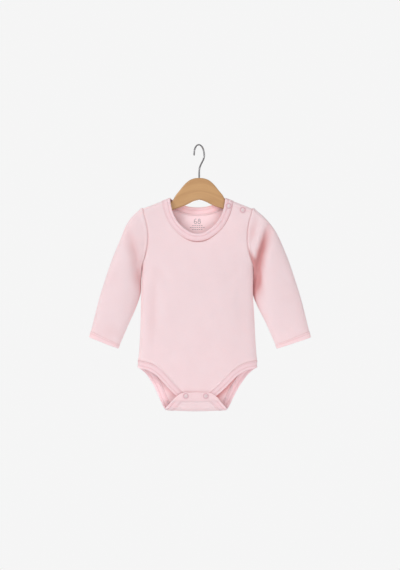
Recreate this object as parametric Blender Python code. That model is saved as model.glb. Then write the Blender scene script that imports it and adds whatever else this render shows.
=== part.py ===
"""Baby onesie on a wooden hanger: a long-sleeved bodysuit with a bound round neck, two shoulder
snaps, bound legs and a crotch flap with two snaps.

Metres, +Z up, the front faces -Y, +X is the snap shoulder's side. The origin is the inside top of
the hook, where it rests on a rail. Tables and helper functions work in millimetres."""

import math

import bmesh
import bpy
import numpy as np

MM = 0.001

# ---------------------------------------------------------------- driving sizes, millimetres

CLOTH = 1.2  # knit wall
BINDING = 2.2  # folded binding
HEM = 2.4  # turned hem
SEAM_GAP = 0.3
BAND_CLEAR = 0.54  # from a binding's middle line to the panel's edge
SLEEVE_CLEAR = 0.42  # from a sleeve's first ring to the panel's edge
ARMPIT_CLEAR = (1.9, 1.3, 0.6, 0.2)  # added at the points that follow the armpit
ARMPIT_SHIFT = (1.5, -0.4)  # across and height, from the panels' corner to the sleeve's
SHOULDER_SHIFT = (0.42, -0.16)
BODY_X = -3.0  # the garment's middle, a little off the hook
FOLD_EDGE = 4.0  # folds fade out over one part in this many of the half width
FOLD_END = 0.45  # share of a fold's depth left at its ends
FOLD_MIX = 2.0  # how soon a fold's one half width turns into the other
LAP = 2.2  # between the middles of a lapped strip and the cloth over it

SHOULDER_TOP = -99.0  # height of the shoulder line at the neck
SHOULDER_NECK = 51.0  # half width there
SHOULDER_SLOPE = 0.39
SHOULDER_TIP = 104.0
SHOULDER_ROUND = 8.0  # how far below the shoulder line the cloth turns over the hanger
SIDE_POWER = 3.0  # how late the panels round off towards the sides
ROUND_POWER = 2.6  # how square the body's and the sleeves' sections are
LEG_CORNER_HEIGHT = -407.7
UNDERLAP = (57.0, 101.0)  # how far the underlap reaches along the snap shoulder
UNDERLAP_DROPS = (-5, -2.4, -0.8, 0, 0.8, 2.4, 5, 9, 14, 20)  # below the shoulder line, back to front
UNDERLAP_THICK = 1.0
NECK_BAND = 13.0
NECK_SEAM_HALF = 67.0  # half width of the band's seam at the shoulder
NECK_END_GAP = 0.25  # half the gap between the band's ends at the snap shoulder
LEG_BAND = 12.5

FOLD_START = -493.4  # where the back panel starts to turn under the crotch
FOLD_RADIUS = 10.5
FLAP_LEAN = 0.06  # how much nearer the front the flap gets for each millimetre up
FLAP_SEAM_HALF = 25.8
TAB_HALF = 14.5

CUFF_HEM = 11.0
HEM_STEP = 0.5  # half the distance between the two rings where the hem starts
HEM_RING = 0.4  # share of the hem below its middle ring
SLEEVE_FULLER = 4.7  # the +X sleeve hangs fuller, the other narrower
FULLER_RANGE = (-125.0, -180.0)  # heights between which that grows
SLEEVE_BEND = 0.42  # share of the sleeve's length that still shows the armhole's curve
SLEEVE_FLATTEN = 0.28  # share over which the armhole's depth turns into the sleeve's
SLEEVE_TUCK = {-1: 5.0, 1: 7.0}  # how far each sleeve's under edge hangs behind the body
TUCK_FROM = 0.42  # share of the sleeve's width where that begins
FOLD_FADE = 0.1  # share over which the sleeve's folds come in

HANGER_THICK = 10.0
HANGER_ROUND = 2.6  # radius of the board's edges
BORE_DEPTH = 19.0
WIRE = 3.3
HOOK_RADIUS = 17.5
HOOK_TURN = math.radians(33)  # from +Y towards +X
HOOK_BEND = (188, -41, -12)  # degrees round the rail, from the tip, and the step

SNAP_OUTER = 10.8
SNAP_INNER = 7.4
SNAP_THICK = 1.4
SNAP_BACK_OUTER = 8.9
SNAP_BACK_INNER = 5.5
SNAP_BACK_THICK = 1.2
RING_POWER = 0.7  # how square a ring's section is
BACK_RING_CLEAR = 1.6  # behind the underlap's middle

# ---------------------------------------------------------------- tables, millimetres

# height, half width of the side seam and armhole edge
SIDE = (
    (-407.7, 112.6),
    (-376, 110.2),
    (-340, 108.4),
    (-300, 107.4),
    (-260, 106.4),
    (-226.5, 105.8),
)
ARMHOLE = (
    (-226.5, 105.8),
    (-218, 102.4),
    (-206, 98.0),
    (-187, 94.3),
    (-166, 94.0),
    (-145, 97.3),
    (-133, 100.6),
    (-119.7, 104.0),
)

# height, front depth, back depth, half width where front and back would meet
DEPTH = (
    (-520, 5.0, 8.0, 320),
    (-493, 7.6, 9.5, 266),
    (-486, 8.4, 11.0, 252),
    (-475, 9.6, 12.6, 230),
    (-468, 10.4, 13.4, 213),
    (-455, 12.3, 15.2, 186),
    (-440, 14.4, 17.2, 150),
    (-428, 16.2, 19.0, 122),
    (-420, 17.4, 20.2, 113.2),
    (-407.7, 18.6, 21.4, 112.6),
    (-376, 20.0, 22.0, 110.2),
    (-340, 20.0, 21.2, 108.4),
    (-300, 19.4, 20.0, 107.4),
    (-260, 18.0, 18.4, 106.4),
    (-226.5, 16.6, 17.0, 105.8),
    (-218, 16.0, 16.4, 110.0),
    (-206, 15.0, 15.4, 119.0),
    (-187, 13.4, 13.8, 140.0),
    (-166, 12.0, 12.4, 158.0),
    (-140, 11.5, 11.6, 165.0),
    (-119, 11.1, 11.1, 168.0),
    (-95, 10.9, 10.9, 170.0),
)

# height, how far the garment's foot hangs to one side
SWAY = ((-520, -3.2), (-480, -2.6), (-440, -1.0), (-400, 0.0))

# half width, height of the neck opening's edge
FRONT_NECK = (
    (53.1, -99.8),
    (51.9, -110.6),
    (48.5, -124.8),
    (42.8, -138.1),
    (34.0, -150.5),
    (22.8, -160.0),
    (12.0, -166.2),
    (0, -168.2),
)
BACK_NECK = (
    (53.1, -99.8),
    (45.0, -105.6),
    (34.0, -110.8),
    (18.0, -115.8),
    (0, -117.4),
)

# half width, height of the leg openings' edges: the front's runs to the tab's end
FRONT_LEG = (
    (113.2, -420.0),
    (107.4, -422.2),
    (95.6, -424.3),
    (85.5, -428.6),
    (75.0, -436.0),
    (65.8, -445.3),
    (54.0, -458.0),
    (44.8, -467.2),
    (36.5, -474.6),
    (30.0, -480.6),
    (27.0, -486.0),
)
# half width, distance down the back (the crotch fold and the flap follow on)
BACK_LEG = (
    (113.2, 420.0),
    (104.6, 426.6),
    (95.6, 435.3),
    (87.8, 446.3),
    (80.6, 457.3),
    (73.8, 470.8),
    (67.8, 483.4),
    (62.8, 494.4),
    (61.6, 503.0),
    (60.4, 511.0),
    (58.4, 519.0),
    (54.8, 527.0),
    (48.8, 535.8),
)

# height, half width of the flap's hem
FLAP_HEM = (
    (-484.0, 48.6),
    (-480.0, 45.6),
    (-476.0, 42.0),
    (-472.0, 37.0),
    (-469.2, 31.0),
    (-467.8, 24.0),
)

# half width, height of the sleeve's upper and under edges
SLEEVE_OVER = (
    (104.0, -119.7),
    (122.9, -134.6),
    (138.5, -153.9),
    (152.6, -182.2),
    (166.6, -215.7),
    (180.3, -255.6),
    (192.1, -293.9),
    (202.6, -335.7),
    (209.5, -363.0),
)
SLEEVE_UNDER = (
    (107.5, -227.2),
    (107.9, -240.0),
    (108.2, -262.0),
    (108.9, -279.6),
    (115.2, -300.6),
    (121.0, -315.8),
    (128.0, -331.0),
    (134.6, -346.2),
    (141.2, -361.4),
    (151.0, -384.0),
)
# share of the way down the sleeve, half depth
SLEEVE_DEPTH = ((0, 11.5), (0.12, 13.5), (0.3, 15.0), (0.5, 14.0), (0.75, 11.5), (1, 10.0))
# share of the way down the sleeve, share of its tuck
TUCK_SHARES = ((0, 0), (0.08, 0.6), (0.2, 1.0), (0.45, 0.75), (0.7, 0), (1, 0))

# soft folds of body and sleeves: ends, half widths towards -X and +X, depth towards the inside
FOLDS = (
    # name, x0, z0, x1, z1, half to -X, half to +X, depth, front, back
    ("left side hollow", -90, -240, -92, -392, 10, 10, 4.2, 1, 1),
    ("right side hollow", 90, -245, 92, -386, 9, 9, 3.4, 1, 1),
    ("left armpit pull", -84, -222, -52, -262, 12, 12, 1.6, 1, 1),
    ("right armpit pull", 86, -218, 50, -268, 12, 12, 1.8, 1, 1),
    ("left leg pull", -74, -404, -38, -380, 14, 14, 1.6, 1, 0),
    ("right leg pull", 76, -404, 36, -376, 14, 14, 1.6, 1, 0),
    ("left seat pull", -70, -430, -28, -392, 14, 14, 1.8, 0, 1),
    ("right seat pull", 70, -430, 28, -392, 14, 14, 1.8, 0, 1),
    ("left front trough", -129, -158, -115, -224, 5, 10, 7.5, 1, 0),
    ("left front trough, lower end", -115, -224, -112, -276, 7, 8, 4.0, 1, 0),
    ("right front trough", 129, -160, 112, -220, 5, 12, 9.0, 1, 0),
    ("right front trough, lower end", 112, -220, 112, -272, 6, 10, 4.5, 1, 0),
    ("right shoulder hollow", 112, -138, 101, -180, 6, 6, 2.6, 1, 0),
    ("left back trough", -130, -160, -114, -244, 10, 10, 3.0, 0, 1),
    ("right back trough", 130, -160, 114, -246, 10, 10, 3.0, 0, 1),
    ("left elbow fold", -150, -236, -178, -272, 9, 9, 2.2, 1, 1),
    ("right elbow fold", 148, -240, 184, -276, 9, 9, 2.4, 1, 1),
    ("left cuff fold", -150, -330, -176, -364, 9, 9, 1.8, 1, 1),
    ("right cuff fold", 154, -326, 182, -362, 9, 9, 2.0, 1, 1),
)

# distance from the middle, height of the hanger's top and lower edges
HANGER_TOP = (
    (0, -61.2),
    (9.0, -62.0),
    (17.4, -65.0),
    (22.6, -68.6),
    (27.0, -72.6),
    (30.6, -76.6),
    (34.4, -81.4),
    (39.4, -87.6),
    (44.6, -94.0),
    (48.2, -100.4),
    (50.4, -103.8),
    (55.0, -106.9),
    (70.0, -112.8),
    (90.0, -120.2),
    (104.0, -127.4),
    (114.0, -135.4),
    (120.0, -144.4),
)
HANGER_LOW = (
    (119.6, -151.0),
    (114.0, -154.4),
    (100.0, -148.0),
    (75.0, -134.6),
    (50.0, -122.0),
    (25.0, -112.6),
    (10.0, -105.2),
    (0, -102.4),
)

# the hook's wire below its bend: distance behind the stem, height
HOOK_STEM = ((8.6, -32.5), (3.4, -38.8), (0.8, -44.0), (0, -50.0), (0, -64.0), (0, -79.0))

# name, across, height
SNAPS = (
    ("shoulder_neck", 58.8, -114.8),
    ("shoulder_arm", 85.4, -122.4),
    ("crotch_left", -19.9, -474.4),
    ("crotch_right", 18.1, -474.4),
)

# name: colour, roughness, metallic
FINISHES = {
    "cloth": ((0.87, 0.66, 0.70), 0.9, 0.0),
    "binding": ((0.86, 0.64, 0.69), 0.9, 0.0),
    "snap": ((0.90, 0.70, 0.74), 0.35, 0.2),
    "wood": ((0.62, 0.40, 0.22), 0.5, 0.0),
    "steel": ((0.60, 0.60, 0.60), 0.3, 1.0),
}

# ---------------------------------------------------------------- grid counts

# shares of the neck's half length, closest where the band goes over the shoulder
NECK_STEPS = (0, 0.13, 0.26, 0.39, 0.52, 0.65, 0.77, 0.87, 0.94, 0.975, 1)
# shares of the armhole's length from the armpit, closest at both ends
ARMHOLE_STEPS = (0, 0.02, 0.07, 0.15, 0.25, 0.37, 0.5, 0.62, 0.74, 0.85, 0.93, 0.965, 0.988, 1)
# shares of the leg edges' length from the side seam to the crotch: the back's turn the fold
FRONT_LEG_STEPS = (1, 0.91, 0.82, 0.73, 0.64, 0.55, 0.46, 0.36, 0.25, 0.15, 0.06, 0.02, 0)
BACK_LEG_STEPS = (1, 0.93, 0.87, 0.81, 0.75, 0.69, 0.58, 0.42, 0.27, 0.15, 0.06, 0.02, 0)
NECK_COLUMNS = len(NECK_STEPS) - 1  # from the middle to the neck band's end
ARMHOLE_ROWS = len(ARMHOLE_STEPS) - 1
SHOULDER_COLUMNS = 5
TAB_COLUMNS = 3
SIDE_ROWS = 6
FOLD_SHARE = 0.2  # share of the back's side rows that take in the crotch fold
FOLD_ROWS = 11
SLEEVE_RINGS = 14
NECK_SHARE = 0.7  # share of the panel's half width that the neck's columns take
CORNER_STEPS = 4  # steps over which a leg seam is drawn to its corners
HEM_COLUMNS = 15
UNDERLAP_COLUMNS = 8
HOOK_STEPS = 44
HANGER_TOP_STEPS = 20
HANGER_LOW_STEPS = 14
BORE_SIDES = 16
RING_SEGMENTS = 14
RING_SIDES = 6
FINE_STEPS = 400  # points that stand for a smooth curve
SLOPE_STEP = 0.3  # millimetres over which a surface's slope is read
SHARP_ANGLE = math.radians(40)  # edges sharper than this are shaded as edges
BEVEL_ANGLE = math.radians(60)  # the board's edges sharper than this are rounded


# ---------------------------------------------------------------- curves

def smooth(knots, values, at):
    """A smooth curve through values at rising knots, read at the given places."""
    knots = np.asarray(knots, float)
    values = np.asarray(values, float)
    at = np.clip(np.asarray(at, float), knots[0], knots[-1])
    flat = values.reshape(len(knots), -1)
    rise = np.diff(flat, axis=0) / np.diff(knots)[:, None]
    slope = np.vstack([rise[:1], (rise[1:] + rise[:-1]) / 2, rise[-1:]])
    cell = np.clip(np.searchsorted(knots, at, side="right") - 1, 0, len(knots) - 2)
    span = (knots[1:] - knots[:-1])[cell]
    part = (at - knots[cell]) / span
    part, span = part[..., None], span[..., None]
    found = (
        flat[cell] * (1 + 2 * part) * (1 - part) ** 2
        + slope[cell] * span * part * (1 - part) ** 2
        + flat[cell + 1] * part**2 * (3 - 2 * part)
        - slope[cell + 1] * span * part**2 * (1 - part)
    )
    return found.reshape(at.shape + values.shape[1:])


def lengths(points):
    steps = np.linalg.norm(np.diff(points, axis=0), axis=1)
    return np.concatenate([[0], np.cumsum(steps)])


def along(points, shares):
    """Points at the given shares of the length of the smooth curve through points."""
    points = np.asarray(points, float)
    knots = lengths(points)
    fine = smooth(knots, points, np.linspace(0, knots[-1], FINE_STEPS))
    travelled = lengths(fine)
    wanted = np.asarray(shares) * travelled[-1]
    return np.stack([np.interp(wanted, travelled, fine[:, i]) for i in range(points.shape[1])], axis=1)


def beside(points, width):
    """The curve moved sideways, to the left of the way it runs."""
    points = np.asarray(points, float)
    widths = np.broadcast_to(width, len(points))
    way = np.gradient(along(points, np.linspace(0, 1, FINE_STEPS + 1)), axis=0)
    shares = lengths(points) / lengths(points)[-1]
    picked = way[np.round(shares * FINE_STEPS).astype(int)]
    picked /= np.linalg.norm(picked, axis=1)[:, None]
    return points + np.stack([-picked[:, 1], picked[:, 0]], axis=1) * widths[:, None]


def table(rows, column):
    return [row[column] for row in rows]


def depth_at(height, column):
    return smooth(table(DEPTH, 0), table(DEPTH, column), height)


def shoulder_height(across):
    return SHOULDER_TOP - SHOULDER_SLOPE * (np.abs(across) - SHOULDER_NECK)


# ---------------------------------------------------------------- the body's surfaces

def fold_depth(across, height, side_column):
    """How far the soft folds push the cloth inwards."""
    total = np.zeros(np.shape(across))
    for row in FOLDS:
        x0, z0, x1, z1, half_minus, half_plus, deep = row[1:8]
        if not row[side_column]:
            continue
        run = np.array([x1 - x0, z1 - z0], float)
        size = run @ run
        share = ((across - x0) * run[0] + (height - z0) * run[1]) / size
        reach = np.clip(share, 0, 1)
        aside = across - x0 - reach * run[0]
        away = np.hypot(aside, height - z0 - reach * run[1])
        mix = 0.5 + 0.5 * np.tanh(aside / FOLD_MIX)
        half = half_minus + (half_plus - half_minus) * mix
        swell = FOLD_END + (1 - FOLD_END) * np.sin(math.pi * reach)
        total += deep * swell * np.exp(-((away / half) ** 2))
    return total


def body_depth(across, height, side_column):
    """Distance of a panel from the middle plane: flat, rounded at the sides and over the shoulder."""
    meet = depth_at(height, 3)
    out = np.clip(np.abs(across) / meet, 0, 1)
    side = np.clip(1 - out**SIDE_POWER, 0, 1) ** (1 / ROUND_POWER)
    under = np.clip((shoulder_height(across) - height) / SHOULDER_ROUND, 0, 1)
    over = np.sqrt(1 - (1 - under) ** 2)
    folds = fold_depth(across, height, 8 if side_column == 1 else 9)
    full = depth_at(height, side_column)
    return (full - folds * np.minimum(1, FOLD_EDGE * (1 - out)) * under) * side * over


def middle_at(height):
    """The garment's middle, which hangs a little to one side at its foot."""
    return BODY_X + smooth(table(SWAY, 0), table(SWAY, 1), height)


def front_point(across, height):
    x = middle_at(height) + across
    return np.stack([x, -body_depth(across, height, 1), height], axis=-1)


def back_point(across, distance):
    """A point of the back panel: down the back, round the crotch fold and up the flap."""
    turn = np.clip((distance + FOLD_START) / FOLD_RADIUS, 0, math.pi)
    up = np.maximum(distance + FOLD_START - math.pi * FOLD_RADIUS, 0)
    height = np.maximum(-distance, FOLD_START)
    depth = body_depth(across, height, 2)
    fold_back = depth_at(FOLD_START, 2)
    depth = np.where(turn > 0, fold_back, depth)
    y = depth - FOLD_RADIUS * (1 - np.cos(turn)) - FLAP_LEAN * up
    z = height - FOLD_RADIUS * np.sin(turn) + up
    return np.stack([middle_at(z) + across, y, z], axis=-1)


def flap_distance(height):
    """The back panel's distance at a height of the flap."""
    return -FOLD_START + math.pi * FOLD_RADIUS + (height - FOLD_START)


# ---------------------------------------------------------------- columns and rows of the panels

def half_columns():
    neck = np.linspace(0, NECK_SHARE, NECK_COLUMNS + 1)
    rest = np.sin(np.linspace(0, math.pi / 2, SHOULDER_COLUMNS + 1))[1:]
    return np.concatenate([neck, NECK_SHARE + (1 - NECK_SHARE) * rest])


def mirrored(half):
    """Points for every column from -X to +X, from those of the +X half."""
    flipped = half[:0:-1] * np.array([-1, 1])
    return np.vstack([flipped, half])


def neck_edge_half(rows):
    """The neck opening's edge from the middle to the shoulder."""
    edge = along(mirrored(np.array(rows[::-1])), 0.5 + np.array(NECK_STEPS) / 2)
    edge[0, 0] = 0
    return edge


def neck_seam_half(rows):
    edge = neck_edge_half(rows)
    seam = beside(edge, -NECK_BAND)
    seam[0, 0] = 0
    corner = np.array([NECK_SEAM_HALF, shoulder_height(NECK_SEAM_HALF)])
    fade = np.array(NECK_STEPS)[:, None] ** 5
    return seam + fade * (corner - seam[-1])


def shoulder_half(start):
    """The shoulder edge from the neck band to the armhole."""
    shares = np.sin(np.linspace(0, math.pi / 2, SHOULDER_COLUMNS + 1))[1:]
    x = start[0] + (SHOULDER_TIP - start[0]) * shares
    return np.stack([x, shoulder_height(x)], axis=1)


def top_half(rows):
    neck = neck_seam_half(rows)
    return np.vstack([neck, shoulder_half(neck[-1])])


def leg_edge_half(rows):
    """The leg opening's edge from the tab's or flap's corner to the side seam."""
    return along(rows, FRONT_LEG_STEPS if rows is FRONT_LEG else BACK_LEG_STEPS)


def leg_seam_half(rows, end_half, way):
    edge = leg_edge_half(rows)
    seam = beside(edge, way * LEG_BAND)
    corner = np.array([depth_at(LEG_CORNER_HEIGHT, 3), seam[-1, 1]])
    fade = np.clip((np.arange(len(seam)) - len(seam) + 1) / CORNER_STEPS + 1, 0, 1)[:, None] ** 2
    corner[1] = math.copysign(-LEG_CORNER_HEIGHT, seam[-1, 1])
    seam = seam + fade * (corner - seam[-1])
    end = np.array([end_half, edge[0, 1]])
    fade = np.clip(1 - np.arange(len(seam)) / CORNER_STEPS, 0, 1)[:, None] ** 2
    return seam + fade * (end - seam[0])


def bottom_half(seam):
    tab = np.linspace([0, seam[0, 1]], seam[0], TAB_COLUMNS + 1)[:-1]
    return np.vstack([tab, seam])


def side_shares(fold_rows):
    """Shares of the side seam's length, with close rows at its foot for the crotch fold."""
    if not fold_rows:
        return np.linspace(0, 1, SIDE_ROWS + 1)
    fold = np.linspace(0, FOLD_SHARE, fold_rows + 1)
    return np.concatenate([fold[:-1], np.linspace(FOLD_SHARE, 1, SIDE_ROWS)])


def side_rows(fold_rows):
    """The +X side seam, then the armhole edge, from the leg to the shoulder."""
    side = along([(w, h) for h, w in SIDE], side_shares(fold_rows))
    arm = along([(w, h) for h, w in ARMHOLE], ARMHOLE_STEPS)
    return np.vstack([side, arm[1:]])


def patch(bottom, top, side, rows_share):
    """A net over the area between four edges, in across and height."""
    columns = half_columns()
    across = np.concatenate([-columns[:0:-1], columns])
    u = ((across + 1) / 2)[None, :, None]
    v = rows_share[:, None, None]
    left = side * np.array([-1, 1])
    bottom, top = bottom[None], top[None]
    right, left = side[:, None], left[:, None]
    edges = (1 - v) * bottom + v * top + (1 - u) * left + u * right
    corners = (
        (1 - v) * ((1 - u) * bottom[:, :1] + u * bottom[:, -1:])
        + v * ((1 - u) * top[:, :1] + u * top[:, -1:])
    )
    return edges - corners


# ---------------------------------------------------------------- meshes

def unit(vectors):
    size = np.linalg.norm(vectors, axis=-1, keepdims=True)
    return vectors / np.maximum(size, 1e-9)


def normals_of(net, closed):
    if closed:
        wide = np.concatenate([net[:, -1:], net, net[:, :1]], axis=1)
        across = np.gradient(wide, axis=1)[:, 1:-1]
    else:
        across = np.gradient(net, axis=1)
    return unit(np.cross(across, np.gradient(net, axis=0)))


def facing(point, flat):
    """Outward normals of a panel's surface at across and height, or at across and distance."""
    x, z = flat[..., 0], flat[..., 1]
    run = point(x + SLOPE_STEP, z) - point(x - SLOPE_STEP, z)
    return unit(np.cross(run, point(x, z + SLOPE_STEP) - point(x, z - SLOPE_STEP)))


def build_mesh(name, points, faces, finish):
    mesh = bpy.data.meshes.new(name)
    mesh.from_pydata([tuple(p) for p in np.asarray(points) * MM], [], faces)
    mesh.validate()
    mesh.shade_smooth()
    mesh.set_sharp_from_angle(angle=SHARP_ANGLE)
    mesh.materials.append(finish)
    piece = bpy.data.objects.new(name, mesh)
    bpy.context.scene.collection.objects.link(piece)
    return piece


def shell(name, net, thick, finish, closed=False, normals=None):
    """A wall of cloth round a net of points: rows by columns, its outside along the normals."""
    rows, columns = net.shape[:2]
    normals = normals_of(net, closed) if normals is None else normals
    half = np.broadcast_to(thick, (rows, columns))[..., None] / 2
    outer = (net + normals * half).reshape(-1, 3)
    inner = (net - normals * half).reshape(-1, 3)
    count = rows * columns
    steps = columns if closed else columns - 1
    faces = []
    for r in range(rows - 1):
        for c in range(steps):
            d = (c + 1) % columns
            a, b = r * columns + c, r * columns + d
            e, f = a + columns, b + columns
            faces.append((a, b, f, e))
            faces.append((a + count, e + count, f + count, b + count))
    for c in range(steps):
        d = (c + 1) % columns
        faces.append((d, c, c + count, d + count))
        e, f = (rows - 1) * columns + c, (rows - 1) * columns + d
        faces.append((e, f, f + count, e + count))
    if not closed:
        for r in range(rows - 1):
            a, e = r * columns, (r + 1) * columns
            faces.append((a, e, e + count, a + count))
            b, f = a + columns - 1, e + columns - 1
            faces.append((f, b, b + count, f + count))
    return build_mesh(name, np.vstack([outer, inner]), faces, finish)


def material(name):
    colour, roughness, metallic = FINISHES[name]
    made = bpy.data.materials.new(name)
    made.use_nodes = True
    shader = made.node_tree.nodes["Principled BSDF"]
    shader.inputs["Base Color"].default_value = (*colour, 1)
    shader.inputs["Roughness"].default_value = roughness
    shader.inputs["Metallic"].default_value = metallic
    return made


# ---------------------------------------------------------------- panels

def panel_net(point, bottom, top, fold_rows=0):
    """The panel's net from the +X halves of its lower and upper edges, as points in space."""
    side = side_rows(fold_rows)
    way = np.array([1, 1 if bottom[-1, 1] < 0 else -1])
    side = side * way
    side[0] = bottom[-1]
    share = lengths(side) / lengths(side)[-1]
    flat = patch(mirrored(bottom), mirrored(top * way), side, share)
    return point(flat[..., 0], flat[..., 1]), facing(point, flat)


def seamed_panel(name, net, normals, y, finish):
    """A panel whose side and shoulder seams lie at y, with walls square to the seams."""
    seam = np.zeros(net.shape[:2], bool)
    seam[-1, : SHOULDER_COLUMNS + 1] = seam[-1, -SHOULDER_COLUMNS - 1 :] = True
    side = net.shape[0] - ARMHOLE_ROWS
    seam[:side, 0] = seam[:side, -1] = True
    net[seam, 1] = y
    normals[seam, 1] = 0
    normals = unit(normals)
    shell(name, net, CLOTH, finish, normals=normals)
    return net, normals


def add_front(finish):
    seam = leg_seam_half(FRONT_LEG, TAB_HALF, 1)
    net, normals = panel_net(front_point, bottom_half(seam), top_half(FRONT_NECK))
    return seamed_panel("front_panel", net, normals, -SEAM_GAP / 2, finish)


def add_back(finish):
    seam = leg_seam_half(BACK_LEG, FLAP_SEAM_HALF, -1)
    net, normals = panel_net(back_point, bottom_half(seam), top_half(BACK_NECK), FOLD_ROWS)
    return seamed_panel("back_panel", net[:, ::-1], normals[:, ::-1], SEAM_GAP / 2, finish)


# ---------------------------------------------------------------- sleeves

def sleeve_shares():
    """Shares of the sleeve's length for its rings, with two close ones where the hem starts."""
    length = lengths(np.array(SLEEVE_OVER))[-1]
    hem = 1 - CUFF_HEM / length
    step = HEM_STEP / length
    rings = np.linspace(0, hem - step, SLEEVE_RINGS)
    return np.concatenate([rings, [hem + step, 1 - HEM_RING * CUFF_HEM / length, 1]])


def armhole_ring(side, front, back):
    """The sleeve's first ring, just outside the panels' armhole edges, with their normals."""
    halves = []
    for (net, normals), column, inward in ((front, -1, -2), (back, 0, 1)):
        if side < 0:
            column, inward = -1 - column, -1 - inward
        edge = net[-ARMHOLE_ROWS - 1 :, column]
        outward = unit(edge - net[-ARMHOLE_ROWS - 1 :, inward])
        clear = np.full(len(edge), SLEEVE_CLEAR)
        clear[1 : 1 + len(ARMPIT_CLEAR)] += ARMPIT_CLEAR
        points = edge + outward * clear[:, None]
        points[0] = edge[0] + np.array([side * ARMPIT_SHIFT[0], 0, ARMPIT_SHIFT[1]])
        points[-1] = edge[-1] + np.array([side * SHOULDER_SHIFT[0], 0, SHOULDER_SHIFT[1]])
        points[[0, -1], 1] = 0
        rim = normals[-ARMHOLE_ROWS - 1 :, column].copy()
        rim[0] = unit(np.array([-side, 0, -1]))
        rim[1] = unit(rim[1] + np.array([-side, 0, 0]) / 2)
        halves.append((points[::-1], rim[::-1]))
    (front_points, front_rim), (back_points, back_rim) = halves
    points = np.vstack([front_points, back_points[-2:0:-1]])
    return points, np.vstack([front_rim, back_rim[-2:0:-1]])


def sleeve_net(side, first):
    """Rings from the armhole to the cuff: flat tubes between the upper and the under edge."""
    shares = sleeve_shares()
    over = along(SLEEVE_OVER, shares)
    under = along(SLEEVE_UNDER, shares)
    start, end = FULLER_RANGE
    fuller = np.clip((start - over[:, 1]) / (start - end), 0, 1)
    over[:, 0] += side * SLEEVE_FULLER * fuller**2 * (3 - 2 * fuller)
    down = 1 - np.array(ARMHOLE_STEPS[::-1])
    down = np.concatenate([down, down[-2:0:-1]])
    face = np.repeat([-1, 1], [ARMHOLE_ROWS + 1, ARMHOLE_ROWS - 1])
    profile = np.clip(1 - np.abs(2 * down - 1) ** ROUND_POWER, 0, 1) ** (1 / ROUND_POWER)
    start = first[:, [0, 2]] * np.array([side, 1]) - np.array([side * BODY_X, 0])
    ends = start[0], start[ARMHOLE_ROWS]
    bow = start - (ends[0] + down[:, None] * (ends[1] - ends[0]))
    deep = smooth(table(SLEEVE_DEPTH, 0), table(SLEEVE_DEPTH, 1), shares)
    tucks = SLEEVE_TUCK[side] * smooth(table(TUCK_SHARES, 0), table(TUCK_SHARES, 1), shares)
    under_part = np.clip((down - TUCK_FROM) / (1 - TUCK_FROM), 0, 1)
    under_part = under_part**2 * (3 - 2 * under_part)
    rings = [first]
    for k in range(1, len(shares)):
        bend = max(0, 1 - shares[k] / SLEEVE_BEND) ** 2
        keep = max(0, 1 - shares[k] / SLEEVE_FLATTEN) ** 2
        flat = over[k] + down[:, None] * (under[k] - over[k]) + bow * bend
        x, z = side * flat[:, 0], flat[:, 1]
        folds = np.where(face < 0, fold_depth(x, z, 8), fold_depth(x, z, 9))
        y = (deep[k] - folds * min(1, shares[k] / FOLD_FADE)) * profile * face
        y = keep * first[:, 1] + (1 - keep) * (y + tucks[k] * under_part)
        rings.append(np.stack([BODY_X + x, y, z], axis=1))
    return np.stack(rings), shares


def add_sleeve(side, front, back, finish):
    first, rim = armhole_ring(side, front, back)
    net, shares = sleeve_net(side, first)
    if side < 0:
        net, rim = net[:, ::-1], rim[::-1]
    normals = normals_of(net, True)
    normals[0] = rim
    thick = np.where(np.arange(len(shares)) >= SLEEVE_RINGS, HEM, CLOTH)[:, None]
    name = "sleeve_right" if side > 0 else "sleeve_left"
    shell(name, net, thick, finish, closed=True, normals=normals)


# ---------------------------------------------------------------- bindings and laps

def strip(point, edge, seam):
    """Rows from the opening's edge to just short of the seam."""
    seam = seam + unit(edge - seam) * BAND_CLEAR
    flat = np.stack([edge, (edge + seam) / 2, seam])
    return point(flat[..., 0], flat[..., 1]), facing(point, flat)


def add_neck_binding(finish):
    """One band from the snap shoulder round the front, over the other shoulder and back."""
    runs = []
    for point, rows, way in ((front_point, FRONT_NECK, 1), (back_point, BACK_NECK, -1)):
        edge, seam = mirrored(neck_edge_half(rows)), mirrored(neck_seam_half(rows))
        runs.append(strip(point, edge * (1, way), seam * (1, way)))
    (front, front_out), (back, back_out) = runs
    net = np.concatenate([front[:, ::-1], back[:, 1:]], axis=1)
    normals = np.concatenate([front_out[:, ::-1], back_out[:, 1:]], axis=1)
    tops = [0, front.shape[1] - 1, -1]
    net[:, [0, -1], 1] = (-NECK_END_GAP, NECK_END_GAP)
    normals[:, tops, 1] = 0
    shell("neck_binding", net, BINDING, finish, normals=unit(normals))


def add_leg_binding(side, finish):
    """One band from the front tab round the side seam, along the seat and up the flap."""
    runs = []
    for point, rows, end, way in (
        (front_point, FRONT_LEG, TAB_HALF, 1),
        (back_point, BACK_LEG, FLAP_SEAM_HALF, -1),
    ):
        seam = leg_seam_half(rows, end, way)
        flip = np.array([side, 1])
        runs.append(strip(point, leg_edge_half(rows) * flip, seam * flip))
    (front, front_out), (back, back_out) = runs
    net = np.concatenate([front, back[:, -2::-1]], axis=1)
    normals = np.concatenate([front_out, back_out[:, -2::-1]], axis=1)
    corner = front.shape[1] - 1
    net[:, corner, 1] = normals[:, corner, 1] = 0
    if side < 0:
        net, normals = net[::-1], normals[::-1]
    name = "leg_binding_right" if side > 0 else "leg_binding_left"
    shell(name, net, BINDING, finish, normals=unit(normals))


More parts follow.
